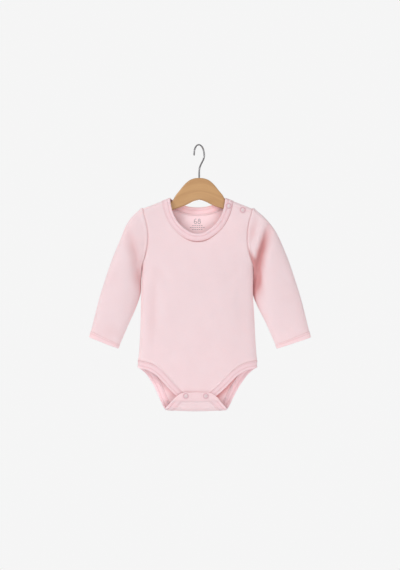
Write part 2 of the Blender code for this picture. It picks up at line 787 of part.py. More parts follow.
def add_flap_hem(finish):
    """The flap's turned end, across the back panel and both bindings."""
    heights = np.array(table(FLAP_HEM, 0))
    halves = np.array(table(FLAP_HEM, 1))
    heights[0] += SEAM_GAP
    across = np.sin(np.linspace(-1, 1, HEM_COLUMNS) * math.pi / 2)
    x = halves[:, None] * across
    z = np.broadcast_to(heights[:, None], x.shape)
    shell("flap_hem", back_point(x, flap_distance(z)), HEM, finish)


def add_shoulder_underlap(finish):
    """The back shoulder's strip that lies under the snapped edge of the front."""
    across = np.linspace(UNDERLAP[0], UNDERLAP[1], UNDERLAP_COLUMNS)
    rows = []
    for drop in UNDERLAP_DROPS:
        line = front_point(across, shoulder_height(across) - abs(drop))
        if drop < 0:
            line[:, 1] = -line[:, 1]
        rows.append(line)
    net = np.stack(rows[::-1])
    net = net - normals_of(net, False) * LAP
    shell("shoulder_underlap", net, UNDERLAP_THICK, finish)


# ---------------------------------------------------------------- snaps

def add_ring(name, centre, facing, outer, inner, thick, finish):
    """A flat ring with rounded edges, its axis along facing."""
    facing = facing / np.linalg.norm(facing)
    first = unit(np.cross(facing, (0, 0, 1)))
    second = np.cross(facing, first)
    middle, half = (outer + inner) / 4, (outer - inner) / 4
    points, faces = [], []
    for i in range(RING_SEGMENTS):
        turn = 2 * math.pi * i / RING_SEGMENTS
        out = math.cos(turn) * first + math.sin(turn) * second
        for j in range(RING_SIDES):
            angle = 2 * math.pi * (j + 0.5) / RING_SIDES
            wide, tall = math.cos(angle), math.sin(angle)
            reach = middle + half * math.copysign(abs(wide) ** RING_POWER, wide)
            lift = thick / 2 * math.copysign(abs(tall) ** RING_POWER, tall)
            points.append(centre + out * reach + facing * lift)
            a, b = i * RING_SIDES + j, i * RING_SIDES + (j + 1) % RING_SIDES
            count = RING_SEGMENTS * RING_SIDES
            faces.append((a, (a + RING_SIDES) % count, (b + RING_SIDES) % count, b))
    build_mesh(name, points, faces, finish)


def surface(point, x, z):
    """A point of a panel and its outward normal."""
    flat = np.array([x, z], float)
    return point(flat[0], flat[1]), facing(point, flat)


def on_flap(across, height):
    return back_point(across, flap_distance(height))


def add_snaps(finish):
    for name, x, z in SNAPS:
        crotch = name.startswith("crotch")
        here, outward = surface(on_flap if crotch else front_point, x, z)
        if crotch:
            outward = outward * np.sign(-outward[1])
        wall = HEM if crotch else BINDING
        lift = wall / 2 + SEAM_GAP + SNAP_THICK / 2
        cap = "snap_cap_" + name
        add_ring(cap, here + outward * lift, outward, SNAP_OUTER, SNAP_INNER, SNAP_THICK, finish)
        here, outward = surface(front_point, x, z)
        wall = BINDING / 2 if crotch else LAP + BACK_RING_CLEAR
        sink = wall + SEAM_GAP + SNAP_BACK_THICK / 2
        back = "snap_back_" + name
        add_ring(back, here - outward * sink, -outward, SNAP_BACK_OUTER, SNAP_BACK_INNER,
                 SNAP_BACK_THICK, finish)


# ---------------------------------------------------------------- hanger and hook

def add_hanger(finish):
    """A flat shaped board with rounded edges, and a bore for the hook's stem."""
    half = np.vstack([
        along(HANGER_TOP, np.linspace(0, 1, HANGER_TOP_STEPS)),
        along(HANGER_LOW, np.linspace(0, 1, HANGER_LOW_STEPS)),
    ])
    outline = np.vstack([half, half[-2:0:-1] * np.array([-1, 1])])
    shape = bmesh.new()
    ring = [shape.verts.new((x * MM, HANGER_THICK / 2 * MM, z * MM)) for x, z in outline]
    face = shape.faces.new(ring)
    pulled = bmesh.ops.extrude_face_region(shape, geom=[face])
    moved = [v for v in pulled["geom"] if isinstance(v, bmesh.types.BMVert)]
    bmesh.ops.translate(shape, verts=moved, vec=(0, -HANGER_THICK * MM, 0))
    bmesh.ops.recalc_face_normals(shape, faces=shape.faces)
    mesh = bpy.data.meshes.new("hanger")
    shape.to_mesh(mesh)
    shape.free()
    mesh.materials.append(finish)
    hanger = bpy.data.objects.new("hanger", mesh)
    bpy.context.scene.collection.objects.link(hanger)
    round_over = hanger.modifiers.new("rounded edges", "BEVEL")
    round_over.width = HANGER_ROUND * MM
    round_over.segments = 2
    round_over.limit_method = "ANGLE"
    round_over.angle_limit = BEVEL_ANGLE
    bpy.ops.mesh.primitive_cylinder_add(
        vertices=BORE_SIDES, radius=(WIRE / 2 + SEAM_GAP) * MM, depth=2 * BORE_DEPTH * MM,
        location=(0, 0, HANGER_TOP[0][1] * MM),
    )
    bore = bpy.context.object
    bore.name = "bore"
    bore.hide_render = True
    bore.display_type = "WIRE"
    cut = hanger.modifiers.new("bore", "BOOLEAN")
    cut.object = bore
    cut.operation = "DIFFERENCE"


def hook_route():
    """Points of the wire's middle: tip, over the rail, down behind it and back to the stem."""
    radius = HOOK_RADIUS
    centre = WIRE / 2 - radius
    back = np.array([math.sin(HOOK_TURN), math.cos(HOOK_TURN)])
    points = []
    for degrees in range(*HOOK_BEND):
        turn = math.radians(degrees)
        reach = radius * math.cos(turn)
        points.append((*(back * reach), centre + radius * math.sin(turn)))
    for reach, height in HOOK_STEM:
        points.append((*(back * reach), height))
    return np.array(points)


def add_hook(finish):
    route = along(hook_route(), np.linspace(0, 1, HOOK_STEPS))
    curve = bpy.data.curves.new("hook", "CURVE")
    curve.dimensions = "3D"
    curve.bevel_depth = WIRE / 2 * MM
    curve.bevel_resolution = 2
    curve.use_fill_caps = True
    line = curve.splines.new("POLY")
    line.points.add(len(route) - 1)
    for knot, point in zip(line.points, route):
        knot.co = (*(point * MM), 1)
    curve.materials.append(finish)
    hook = bpy.data.objects.new("hook", curve)
    bpy.context.scene.collection.objects.link(hook)


# ---------------------------------------------------------------- the object

def main():
    for old in list(bpy.data.objects):
        bpy.data.objects.remove(old)
    finishes = {name: material(name) for name in FINISHES}
    front = add_front(finishes["cloth"])
    back = add_back(finishes["cloth"])
    for side in (-1, 1):
        add_sleeve(side, front, back, finishes["cloth"])
        add_leg_binding(side, finishes["binding"])
    add_neck_binding(finishes["binding"])
    add_flap_hem(finishes["cloth"])
    add_shoulder_underlap(finishes["cloth"])
    add_snaps(finishes["snap"])
    add_hanger(finishes["wood"])
    add_hook(finishes["steel"])


main()
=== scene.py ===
"""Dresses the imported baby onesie: fine cloth, bindings, stitches, snaps, hanger and hook.

Laid out as a Blender add-on and run as a script. Lengths in tables and helpers are millimetres,
meshes are metres, +Z up, the garment's front faces -Y and the hook's inside top is the origin."""

import math

import bmesh
import bpy
import numpy as np
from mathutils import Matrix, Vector


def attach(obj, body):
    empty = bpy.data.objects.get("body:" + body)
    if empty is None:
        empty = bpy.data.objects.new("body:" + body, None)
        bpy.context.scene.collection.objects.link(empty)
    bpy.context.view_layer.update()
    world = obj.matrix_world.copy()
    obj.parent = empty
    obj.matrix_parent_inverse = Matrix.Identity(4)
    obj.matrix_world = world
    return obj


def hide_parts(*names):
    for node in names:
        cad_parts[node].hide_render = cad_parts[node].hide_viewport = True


bl_info = {
    "name": "Baby onesie dresser",
    "version": (1, 0, 0),
    "blender": (4, 5, 0),
    "location": "View3D > Sidebar > Onesie",
    "description": "Builds the cloth, stitches, snaps and hanger of a baby onesie",
    "category": "Object",
}

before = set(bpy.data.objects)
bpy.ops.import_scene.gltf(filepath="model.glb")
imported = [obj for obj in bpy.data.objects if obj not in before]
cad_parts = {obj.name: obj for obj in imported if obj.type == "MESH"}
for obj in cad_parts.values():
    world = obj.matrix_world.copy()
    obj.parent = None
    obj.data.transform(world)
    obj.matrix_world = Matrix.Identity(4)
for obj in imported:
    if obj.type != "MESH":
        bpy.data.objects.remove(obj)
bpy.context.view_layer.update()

MM = 0.001
BODY = "root"

# ---------------------------------------------------------------- driving sizes, millimetres

CLOTH = 1.2  # knit wall
BINDING = 2.2  # folded binding
HEM = 2.4  # turned hem
SEAM_GAP = 0.3
SIDE_POWER = 3.0  # how late the panels round off towards the sides
ROUND_POWER = 2.6  # how square the body's and the sleeves' sections are
BODY_X = -3.0  # the garment's middle, a little off the hook
FOLD_EDGE = 4.0  # folds fade out over one part in this many of the half width
FOLD_END = 0.45  # share of a fold's depth left at its ends
FOLD_MIX = 2.0  # how soon a fold's one half width turns into the other
SIDE_PULL = 2.0  # how far the +X side hangs inwards below its armpit
SLEEVE_PULL = 1.8  # times that for the sleeve's under edge
SIDE_PULL_AT = -284.0
SIDE_PULL_HALF = 32.0
SIDE_PULL_POWER = 3  # how much less it is towards the middle
LAP = 2.2  # between the middles of a lapped strip and the cloth over it

SHOULDER_TOP = -99.0  # height of the shoulder line at the neck
SHOULDER_NECK = 51.0  # half width there
SHOULDER_SLOPE = 0.39
SHOULDER_TIP = 104.0
SHOULDER_ROUND = 8.0  # how far below the shoulder line the cloth turns over the hanger
LEG_CORNER_HEIGHT = -407.7
ARMPIT_HEIGHT = -226.5
UNDERLAP = (57.0, 101.0)  # how far the underlap reaches along the snap shoulder
NECK_BAND = 13.0
NECK_SEAM_HALF = 67.0  # half width of the band's seam at the shoulder
LEG_BAND = 12.5

FOLD_START = -493.4  # where the back panel starts to turn under the crotch
FOLD_RADIUS = 10.5
FLAP_LEAN = 0.06  # how much nearer the front the flap gets for each millimetre up
FOOT_BOW = 2.6  # how much higher the foot's ends are than its middle
FOOT_HALF = 56.0
FLAP_SEAM_HALF = 25.8
TAB_HALF = 14.5

CUFF_HEM = 11.0
HEM_RISE = 0.8  # over which the cuff thickens to its hem
HEM_LEAD = 2.4  # from the last even ring to the hem's start
SLEEVE_FULLER = 4.7  # the +X sleeve hangs fuller, the other narrower
FULLER_RANGE = (-125.0, -180.0)  # heights between which that grows
SLEEVE_BEND = 0.42  # share of the sleeve's length that still shows the armhole's curve
SLEEVE_FLATTEN = 0.28  # share over which the armhole's depth turns into the sleeve's
SLEEVE_TUCK = {-1: 5.0, 1: 7.0}  # how far each sleeve's under edge hangs behind the body
TUCK_FROM = 0.42  # share of the sleeve's width where that begins
SHADE_RANGE = (0.64, 0.82)  # the part of that width over which its painted shade deepens
TUCK_SHADE = {-1: 0.15, 1: 1.0}  # how much of that painted shade each sleeve has
FOLD_FADE = 0.1  # share over which the sleeve's folds come in

HANGER_THICK = 10.0
WIRE = 3.3
HOOK_RADIUS = 17.5
HOOK_TURN = math.radians(33)

SNAP_OUTER = 10.8
SNAP_LOW = 1.1  # thickness of the ring, which sinks a little into the cloth
SNAP_BACK_OUTER = 8.9
SNAP_BACK_INNER = 5.5
SNAP_BACK_THICK = 1.2
BACK_RING_CLEAR = 1.6  # behind the underlap's middle

# ---------------------------------------------------------------- tables, millimetres

# height, half width of the armhole's edge
ARMHOLE = (
    (ARMPIT_HEIGHT, 105.8), (-218, 102.4), (-206, 98.0), (-187, 94.3), (-166, 94.0), (-145, 97.3),
    (-133, 100.6), (-119.7, 104.0),
)

# height, front depth, back depth, half width where front and back would meet
FRONT_DEPTH, BACK_DEPTH, MEET = 1, 2, 3
DEPTH = (
    (-520, 5.0, 8.0, 320), (-493, 7.6, 9.5, 266), (-486, 8.4, 11.0, 252), (-475, 9.6, 12.6, 230),
    (-468, 10.4, 13.4, 213), (-455, 12.3, 15.2, 186), (-440, 14.4, 17.2, 150),
    (-428, 16.2, 19.0, 122), (-420, 17.4, 20.2, 113.2), (LEG_CORNER_HEIGHT, 18.6, 21.4, 112.6),
    (-376, 20.0, 22.0, 110.2), (-340, 20.0, 21.2, 108.4), (-300, 19.4, 20.0, 107.4),
    (-260, 18.0, 18.4, 106.4), (ARMPIT_HEIGHT, 16.6, 17.0, 105.8), (-218, 16.0, 16.4, 110.0),
    (-206, 15.0, 15.4, 119.0), (-187, 13.4, 13.8, 140.0), (-166, 12.0, 12.4, 158.0),
    (-140, 11.5, 11.6, 165.0), (-119, 11.1, 11.1, 168.0), (-95, 10.9, 10.9, 170.0),
)

# height, half width of the side seam
SIDE = [(row[0], row[MEET]) for row in DEPTH if LEG_CORNER_HEIGHT <= row[0] <= ARMPIT_HEIGHT]

# height, how far the garment's foot hangs to one side
SWAY = ((-520, -3.2), (-480, -2.6), (-440, -1.0), (-400, 0.0))

# half width, height of the neck opening's edge
FRONT_NECK = (
    (53.1, -99.8), (51.9, -110.6), (48.5, -124.8), (42.8, -138.1), (34.0, -150.5), (22.8, -160.0),
    (12.0, -166.2), (0, -168.2),
)
BACK_NECK = (
    (53.1, -99.8), (45.0, -105.6), (34.0, -110.8), (18.0, -115.8), (0, -117.4),
)

# half width, height of the leg openings' edges: the front's runs to the tab's end
FRONT_LEG = (
    (113.2, -420.0), (107.4, -422.2), (95.6, -424.3), (85.5, -428.6), (75.0, -436.0),
    (65.8, -445.3), (54.0, -458.0), (44.8, -467.2), (36.5, -474.6), (30.0, -480.6),
    (27.0, -486.0),
)
# half width, distance down the back (the crotch fold and the flap follow on)
BACK_LEG = (
    (113.2, 420.0), (104.6, 426.6), (95.6, 435.3), (87.8, 446.3), (80.6, 457.3), (73.8, 470.8),
    (67.8, 483.4), (62.8, 494.4), (61.2, 499.0), (58.8, 504.0), (57.4, 510.0), (58.0, 516.0),
    (56.6, 521.0), (52.6, 527.0), (45.0, 535.8),
)

# height, half width of the flap's hem
FLAP_HEM = (
    (-484.0, 44.8), (-480.0, 41.6), (-476.0, 37.6), (-472.0, 32.6), (-469.2, 27.6),
    (-467.8, 21.0),
)

# half width, height of the sleeve's upper and under edges
SLEEVE_OVER = (
    (104.0, -119.7), (122.9, -134.6), (138.5, -153.9), (152.6, -182.2), (166.6, -215.7),
    (180.3, -255.6), (192.1, -293.9), (202.6, -335.7), (209.5, -363.0),
)
SLEEVE_UNDER = (
    (107.5, -227.2), (107.9, -240.0), (108.2, -262.0), (108.9, -279.6), (115.2, -300.6),
    (121.0, -315.8), (128.0, -331.0), (134.6, -346.2), (141.2, -361.4), (151.0, -384.0),
)
# share of the way down the sleeve, half depth
SLEEVE_DEPTH = ((0, 11.5), (0.12, 13.5), (0.3, 15.0), (0.5, 14.0), (0.75, 11.5), (1, 10.0))
# share of the way down the sleeve, share of its tuck, share of the tuck's painted shade
TUCK_SHARES = (
    (0, 0, 0.75), (0.08, 0.6, 1.2), (0.2, 1.0, 1.15), (0.3, 0.92, 0.9), (0.38, 0.84, 0.35),
    (0.45, 0.75, 0.1), (0.7, 0, 0), (1, 0, 0),
)

# soft folds of body and sleeves: ends, half widths towards -X and +X, depth towards the inside
FRONT_FOLDS, BACK_FOLDS = 8, 9
FOLDS = (
    # name, x0, z0, x1, z1, half to -X, half to +X, depth, front, back
    ("left side hollow", -84, -244, -86, -392, 18, 15, 3.0, 1, 1),
    ("right side hollow", 87, -250, 89, -386, 16, 12, 2.0, 1, 1),
    ("left armpit pull", -84, -222, -52, -262, 12, 12, 1.6, 1, 1),
    ("right armpit pull", 86, -218, 50, -268, 12, 12, 1.8, 1, 1),
    ("left leg pull", -74, -404, -38, -380, 14, 14, 1.6, 1, 0),
    ("right leg pull", 76, -404, 36, -376, 14, 14, 1.6, 1, 0),
    ("left seat pull", -70, -430, -28, -392, 14, 14, 1.8, 0, 1),
    ("right seat pull", 70, -430, 28, -392, 14, 14, 1.8, 0, 1),
    ("left front trough", -131, -160, -118, -214, 13, 10, 3.4, 1, 0),
    ("left front trough, lower end", -117, -206, -112, -268, 12, 9, 3.8, 1, 0),
    ("right front trough", 131, -158, 114, -220, 6, 12, 9.5, 1, 0),
    ("right front trough, lower end", 117, -202, 110, -274, 7, 12, 7.5, 1, 0),
    ("right shoulder hollow", 112, -138, 101, -180, 6, 6, 2.8, 1, 0),
    ("right shoulder ridge", 123, -150, 106, -194, 6, 6, -2.0, 1, 0),
    ("left back trough", -130, -160, -114, -244, 10, 10, 3.0, 0, 1),
    ("right back trough", 130, -160, 114, -246, 10, 10, 3.0, 0, 1),
    ("left elbow fold", -150, -236, -178, -272, 12, 12, 1.0, 1, 1),
    ("right elbow fold", 148, -240, 184, -276, 12, 12, 1.4, 1, 1),
    ("left cuff fold", -150, -330, -176, -364, 12, 12, 0.8, 1, 1),
    ("right cuff fold", 154, -326, 182, -362, 12, 12, 1.0, 1, 1),
)

# distance from the middle, height of the hanger's top and lower edges
HANGER_TOP = (
    (0, -61.2), (9.0, -62.0), (17.4, -65.0), (22.6, -68.6), (27.0, -72.6), (30.6, -76.6),
    (34.4, -81.4), (39.4, -87.6), (44.6, -94.0), (48.2, -100.4), (50.4, -103.8), (55.0, -106.9),
    (70.0, -112.8), (90.0, -120.2), (104.0, -127.4), (114.0, -135.4), (120.0, -144.4),
)
HANGER_LOW = (
    (119.6, -151.0), (114.0, -154.4), (100.0, -148.0), (75.0, -134.6), (50.0, -122.0),
    (25.0, -112.6), (10.0, -105.2), (0, -102.4),
)

# the hook's wire below its bend: distance behind the stem, height
HOOK_STEM = ((8.6, -32.5), (3.4, -38.8), (0.8, -44.0), (0, -50.0), (0, -64.0), (0, -79.0))

# name, across, height
SNAPS = (
    ("shoulder_neck", 58.8, -114.8),
    ("shoulder_arm", 85.4, -122.4),
    ("crotch_left", -19.9, -474.4),
    ("crotch_right", 18.1, -474.4),
)

# ---------------------------------------------------------------- fine cloth, millimetres

KNIT_PLACES = "knit_places"  # the UV layer: flat places on the cloth in metres
PAINTED_SHADE_LAYER = "painted_shades"  # the attribute: how much painted shade a point has, from 0 to 1, deeper in folds and seams
FOLD_FULL = 9.0  # the fold's depth at which that is 1
BODY_FOLD = 1.4  # the depth at which it begins on the body
CLOTH_ROUGHNESS = 0.88
CLOTH_SHEEN = 0.25
CLOTH_GLOW = 0.5  # share of the light that goes through the knit
GLOW_REACH = (1.0, 0.8, 0.78)  # how far red, green and blue light travel in it
GLOW_SCALE = 3.0
CREASE_SHADE_REACH = 26.0  # how near other cloth is for painted shade to turn a crease deeper pink
CREASE_SHADE_DEPTH = 0.5
CREASE_SHADE_TINT = (0.68, 0.42, 0.41)  # colour of the painted shade, times the cloth's colour
PAINTED_SHADE_DEPTH = 0.95  # how much painted shade a fold's or seam's own depth adds to that
PAINTED_SHADE_POWER = 1.25  # how much less that is in a shallow fold
SEAM_SHADE = 0.3  # the share of that painted shade along a seam
BAND_EDGE_SHADE = 1.1  # painted shade beside the neck band's outer edge
SEAM_DIP = 0.5  # how deep cloth sinks along a seam
SEAM_WIDTH = 1.4
ARMHOLE_DIP = 1.7  # times that at the armholes
BAND_DIP = 2.0  # and how deep beside the neck band
BAND_LINE = 1.9  # how wide that is
LEG_SHADE = {-1: 0.4, 1: 1.0}  # painted shadow inside the leg openings, under the front's edge
LEG_SHADE_REACH = 9.0  # how far that reaches
RIM_SHADE = 0.9  # painted shade at the outer rim of the neck band itself
LEE_WAY = (0.75, 0, -0.66)  # the side of the neck band whose edge gets most painted shadow, away from the key light
LEE_LEAST = 0.3  # the share of that painted shadow on the other side
LEG_DIP = 0.9  # depth, width and painted shade of the line beside the leg bindings
LEG_LINE = 1.3
LEG_LINE_SHADE = 0.35
LEG_RIDGE = 0.7  # the panels stand proud over the leg seams' turned edges
LEG_RIDGE_AT = 3.4
LEG_RIDGE_HALF = 2.0
SLEEVE_RIDGE = 0.8  # the turned seam stands proud on the sleeve's side
SLEEVE_RIDGE_AT = 4.2
SLEEVE_RIDGE_HALF = 2.6
RIM_STEPS = 4  # parts of a wall's rounded edge
TUCK_RISE = 1.2  # over which the sunk panel comes back to the bindings' middle
BAND_TUCK = 3.0  # how far the panels reach into the bindings
BAND_END = 0.3  # half the gap between the neck band's two ends
STITCH_DIP = 0.5  # how much thinner cloth is along a row of stitches
STITCH_SHADE = 0.6  # how much painted shade there is there, times the dip's share
STITCH_SHADE_FROM = 0.96  # share of a band's thickness under which its painted shade deepens
CUFF_SHADE = 0.2  # painted shade along the cuffs' rows
CUFF_LINE = 0.7  # how wide these are
STITCH_SIDES = 6
# a stitch's bow: place along it, height in threads, half thickness in threads
STITCH_BOW = np.array([
    (-0.5, -0.55, 0.3), (-0.42, 0.1, 0.42), (-0.22, 0.42, 0.5), (0, 0.5, 0.5),
    (0.22, 0.42, 0.5), (0.42, 0.1, 0.42), (0.5, -0.55, 0.3),
])
CUFF_ROWS = (0.0, 3.6)  # twin stitch rows, past the hem's start
# millimetres from the hem's start, the cuff's end and the armhole at which rings lie
HEM_STEPS = (-1.6, -1.0, -0.5, 0, 0.4, 0.8, 1.4, 2.2, 2.9, 3.3, 3.6, 3.9, 4.4, 5.4)
CUFF_STEPS = (4.4, 3.2, 2.2, 1.4, 0.7, 0.2, 0)
SLEEVE_START = (0, 0.5, 1.0, 1.6, 2.3, 3.2, 4.4, 6.0)
HEM_ROWS = 26
HEM_COLUMNS = 91
UNDERLAP_COLUMNS = 31
UNDERLAP_ROWS = 31
# share of the underlap's rows, distance below the shoulder line from back to front
UNDERLAP_DROPS = ((0, -5), (0.2, -0.8), (0.5, 2.4), (1, 20))

# share of a binding's width from the opening's edge, share of its thickness
BAND_SECTION = (
    (0, 0.86), (0.04, 0.97), (0.1, 1.0), (0.2, 1.0), (0.26, 0.94), (0.30, 0.74), (0.34, 0.64),
    (0.38, 0.74), (0.43, 0.94), (0.5, 1.0), (0.65, 1.04), (0.75, 1.04), (0.81, 0.97), (0.85, 0.8),
    (0.885, 0.72), (0.92, 0.82), (0.955, 0.98), (0.98, 1.0), (1, 0.94),
)
STITCH_SHARES = (0.34, 0.885)  # a binding's stitch rows
SHOULDER_ROW = 9.0  # the snap shoulder's stitch row, below the shoulder line
SHOULDER_ROW_ENDS = (68, 101)
SHOULDER_ROW_STEPS = 12
LINE_STEPS = 60
# the flap's stitch rows: along the hem's foot, and the box between the snaps
FLAP_ROWS = (
    ((-43.0, -482.6), (-30.0, -482.6), (0.0, -482.6), (30.0, -482.6), (43.0, -482.6)),
    ((-9.5, -479.6), (0.0, -479.6), (9.5, -479.6)),
    ((-9.5, -470.6), (0.0, -470.6), (9.5, -470.6)),
    ((-9.5, -479.6), (-9.5, -475.0), (-9.5, -470.6)),
    ((9.5, -479.6), (9.5, -475.0), (9.5, -470.6)),
)

# slight unevenness of hanging cloth
RIPPLES = (
    # wave length, turn in degrees, shift, height
    (148, 12, 0.10, 0.50),
    (96, 68, 0.35, 0.36),
    (71, -38, 0.70, 0.28),
    (53, 81, 0.20, 0.20),
    (39, 24, 0.55, 0.13),
    (27, -64, 0.85, 0.08),
)

# ---------------------------------------------------------------- small pieces and the stage

RING_TURNS = 48
RING_SIDES = 16
RING_POWER = 0.75  # how round a ring's section is
RING_CROWN = 0.12  # how much higher its middle is, times its thickness
DOME_RINGS = 10
DOME_START = 0.02  # share of the radius at which the bulge's small flat middle ends
DOME_FALL = 0.92  # how low its rim is, 1 being flat on the cloth
DOME_FOOT = 0.5  # how far its rim reaches into the cloth
SNAP_BULGE = 1.35  # how far the cloth bulges in a snap's ring
DOME_SHADE = -0.5  # keeps the painted crease shade off it
SNAP_MOAT = 0.4  # how much narrower the bulge is than the ring's opening
SNAP_SLOPE_STEP = 0.5  # millimetres over which the cloth's slope under a snap is read
UNDERLAP_THICK = 1.0
PRINT_PLACE = (-0.6, -144.5)  # middle of the size number: across, height
PRINT_STROKE = 0.85
SIX = ((2.0, 5.4), (0.6, 5.9), (-1.2, 4.9), (-2.2, 2.6), (-2.5, 0.0), (-2.0, -1.9), (-0.7, -2.9),
       (0.8, -2.9), (2.1, -1.9), (2.4, -0.5), (1.6, 1.1), (0.2, 1.6), (-1.4, 1.0), (-2.3, 0.0))
DIGIT_SPACE = 3.6  # from the middle to each digit's middle
SIX_STEPS = 48
# the eight's two rounds: middle height, radius, first and last degrees, points
EIGHT = ((3.9, 1.9, -90, 270, 36), (-0.5, 2.5, 90, 450, 40))
DASH = 2.8
DASH_STEPS = 6
DASH_PITCH = 4.2
PRINT_DASHES = ((-6.6, 5), (-10.4, 7), (-14.2, 5))  # height, how many
PRINT_LIFT = 0.06
HANGER_STEPS = 90
BEVEL_ANGLE = math.radians(60)  # the board's edges sharper than this are rounded
BEVEL_STEPS = 7
ARM_SLOPE = 0.55  # how steeply the wood's grain follows the arms down
HOOK_BEND = (188, -40, 20)  # degrees round the rail, from the tip, and its points
HOOK_STEPS = 150
WIRE_ROUNDNESS = 6
TIP_TURNS = (1.45, 1.2, 0.9, 0.6, 0.3)  # steps of the wire's round tip, from its end
FLOOR_RADIUS = 3.0  # metres, as are the places and sizes below
FLOOR_HEIGHT = -2.6
FLOOR_SIDES = 96
FLOOR_ROUGHNESS = 0.9
AIM = Vector((0, 0, -0.27))
# name, place, whether it is aimed at the garment, width and height, share of the key light's
# power; the last two are light that comes through the cloth: they lie in the body and face the
# back panel's inside
LIGHTS = (
    ("key light", (-2.3, -1.75, 1.5), True, (1.0, 1.0), 1),
    ("fill light", (0.7, -2.1, -1.1), True, (1.8, 1.8), 0.42),
    ("back light", (0.5, 2.3, -0.3), True, (1.6, 1.6), 0.5),
    ("light in the neck", (0.014, 0.0065, -0.152), False, (0.09, 0.09), 0.00009),
    ("light in the legs", (-0.004, 0.004, -0.445), False, (0.19, 0.08), 0.00021),
)
ROOM_TINT = (1, 0.965, 0.965, 1)
CAMERA_PLACE = (0.0015, -3.008, -0.2645)
CAMERA_LENS = 100  # millimetres, as is its sensor
CAMERA_SENSOR = 36

# ---------------------------------------------------------------- net counts

FINE = 5  # how many times the steps below are divided
CURVE_STEPS = 400  # points that stand for a smooth curve
WAY_STEPS = 200  # places at which a curve's way is read
SLOPE_STEP = 0.3  # millimetres over which a surface's slope is read
CORNER_STEPS = 4 * FINE  # columns over which a leg seam is drawn to its corners
NECK_FADE = 5  # how late the neck band's seam bends to its corner


def divided(steps):
    """The steps with FINE parts between each two."""
    places = np.arange(len(steps))
    return np.interp(np.linspace(0, len(steps) - 1, (len(steps) - 1) * FINE + 1), places, steps)


# shares of the neck's half length, closest where the band goes over the shoulder
NECK_STEPS = divided((0, 0.13, 0.26, 0.39, 0.52, 0.65, 0.77, 0.87, 0.94, 0.975, 1))
# shares of the armhole's length from the armpit, closest at both ends
ARMHOLE_STEPS = divided(
    (0, 0.02, 0.07, 0.15, 0.25, 0.37, 0.5, 0.62, 0.74, 0.85, 0.93, 0.965, 0.988, 1)
)
SHOULDER_STEPS = divided((0, 0.31, 0.59, 0.81, 0.95, 1))
# shares of the leg edges' length from the side seam to the crotch: the back's turn the fold
FRONT_LEG_STEPS = divided((1, 0.91, 0.82, 0.73, 0.64, 0.55, 0.46, 0.36, 0.25, 0.15, 0.06, 0.02, 0))
BACK_LEG_STEPS = divided((1, 0.93, 0.87, 0.81, 0.75, 0.69, 0.58, 0.42, 0.27, 0.15, 0.06, 0.02, 0))
NECK_COLUMNS = len(NECK_STEPS) - 1
ARMHOLE_ROWS = len(ARMHOLE_STEPS) - 1
SHOULDER_COLUMNS = len(SHOULDER_STEPS) - 1
TAB_COLUMNS = 3 * FINE
# millimetres above the leg corners of the side seam's close rows
LEG_STEPS = (0, 0.6, 1.2, 1.8, 2.3, 2.7, 3.0, 3.3, 3.7, 4.2, 4.8, 5.5, 6.3, 7.3, 8.8, 11)
SIDE_ROWS = 36
FOLD_SHARE = 0.2  # share of the back's side rows that take in the crotch fold
FOLD_ROWS = 36
SLEEVE_RINGS = 84
NECK_SHARE = 0.7  # share of the panel's half width that the neck's columns take


# ---------------------------------------------------------------- curves

def smooth(knots, values, at):
    """A smooth curve through values at rising knots, read at the given places."""
    knots = np.asarray(knots, float)
    values = np.asarray(values, float)
    at = np.clip(np.asarray(at, float), knots[0], knots[-1])
    flat = values.reshape(len(knots), -1)
    rise = np.diff(flat, axis=0) / np.diff(knots)[:, None]
    slope = np.vstack([rise[:1], (rise[1:] + rise[:-1]) / 2, rise[-1:]])
    cell = np.clip(np.searchsorted(knots, at, side="right") - 1, 0, len(knots) - 2)
    span = (knots[1:] - knots[:-1])[cell]
    part = (at - knots[cell]) / span
    part, span = part[..., None], span[..., None]
    found = (
        flat[cell] * (1 + 2 * part) * (1 - part) ** 2
        + slope[cell] * span * part * (1 - part) ** 2
        + flat[cell + 1] * part**2 * (3 - 2 * part)
        - slope[cell + 1] * span * part**2 * (1 - part)
    )
    return found.reshape(at.shape + values.shape[1:])


def lengths(points):
    """Distance travelled along the points, from 0."""
    steps = np.linalg.norm(np.diff(points, axis=0), axis=1)
    return np.concatenate([[0], np.cumsum(steps)])


def along(points, shares):
    """Points at the given shares of the length of the smooth curve through points."""
    points = np.asarray(points, float)
    knots = lengths(points)
    fine = smooth(knots, points, np.linspace(0, knots[-1], CURVE_STEPS))
    travelled = lengths(fine)
    wanted = np.asarray(shares) * travelled[-1]
    return np.stack([np.interp(wanted, travelled, column) for column in fine.T], axis=1)


def beside(points, width):
    """The curve moved sideways, to the left of the way it runs."""
    points = np.asarray(points, float)
    widths = np.broadcast_to(width, len(points))
    way = np.gradient(along(points, np.linspace(0, 1, WAY_STEPS + 1)), axis=0)
    shares = lengths(points) / lengths(points)[-1]
    picked = way[np.round(shares * WAY_STEPS).astype(int)]
    picked /= np.linalg.norm(picked, axis=1)[:, None]
    return points + np.stack([-picked[:, 1], picked[:, 0]], axis=1) * widths[:, None]


def table(rows, column):
    return [row[column] for row in rows]


def read(rows, column, at):
    """A column of a table, as a smooth curve over its first one."""
    return smooth(table(rows, 0), table(rows, column), at)


def bell(distance, half):
    """1 at no distance, falling to about a third at the half width."""
    return np.exp(-((distance / half) ** 2))


def eased(value, start, end):
    """From 0 at start to 1 at end, slowly at both."""
    share = np.clip((value - start) / (end - start), 0, 1)
    return share**2 * (3 - 2 * share)


def depth_at(height, column):
    return read(DEPTH, column, height)


def shoulder_height(across):
    """Height of the shoulder line."""
    return SHOULDER_TOP - SHOULDER_SLOPE * (np.abs(across) - SHOULDER_NECK)


# ---------------------------------------------------------------- the body's surfaces

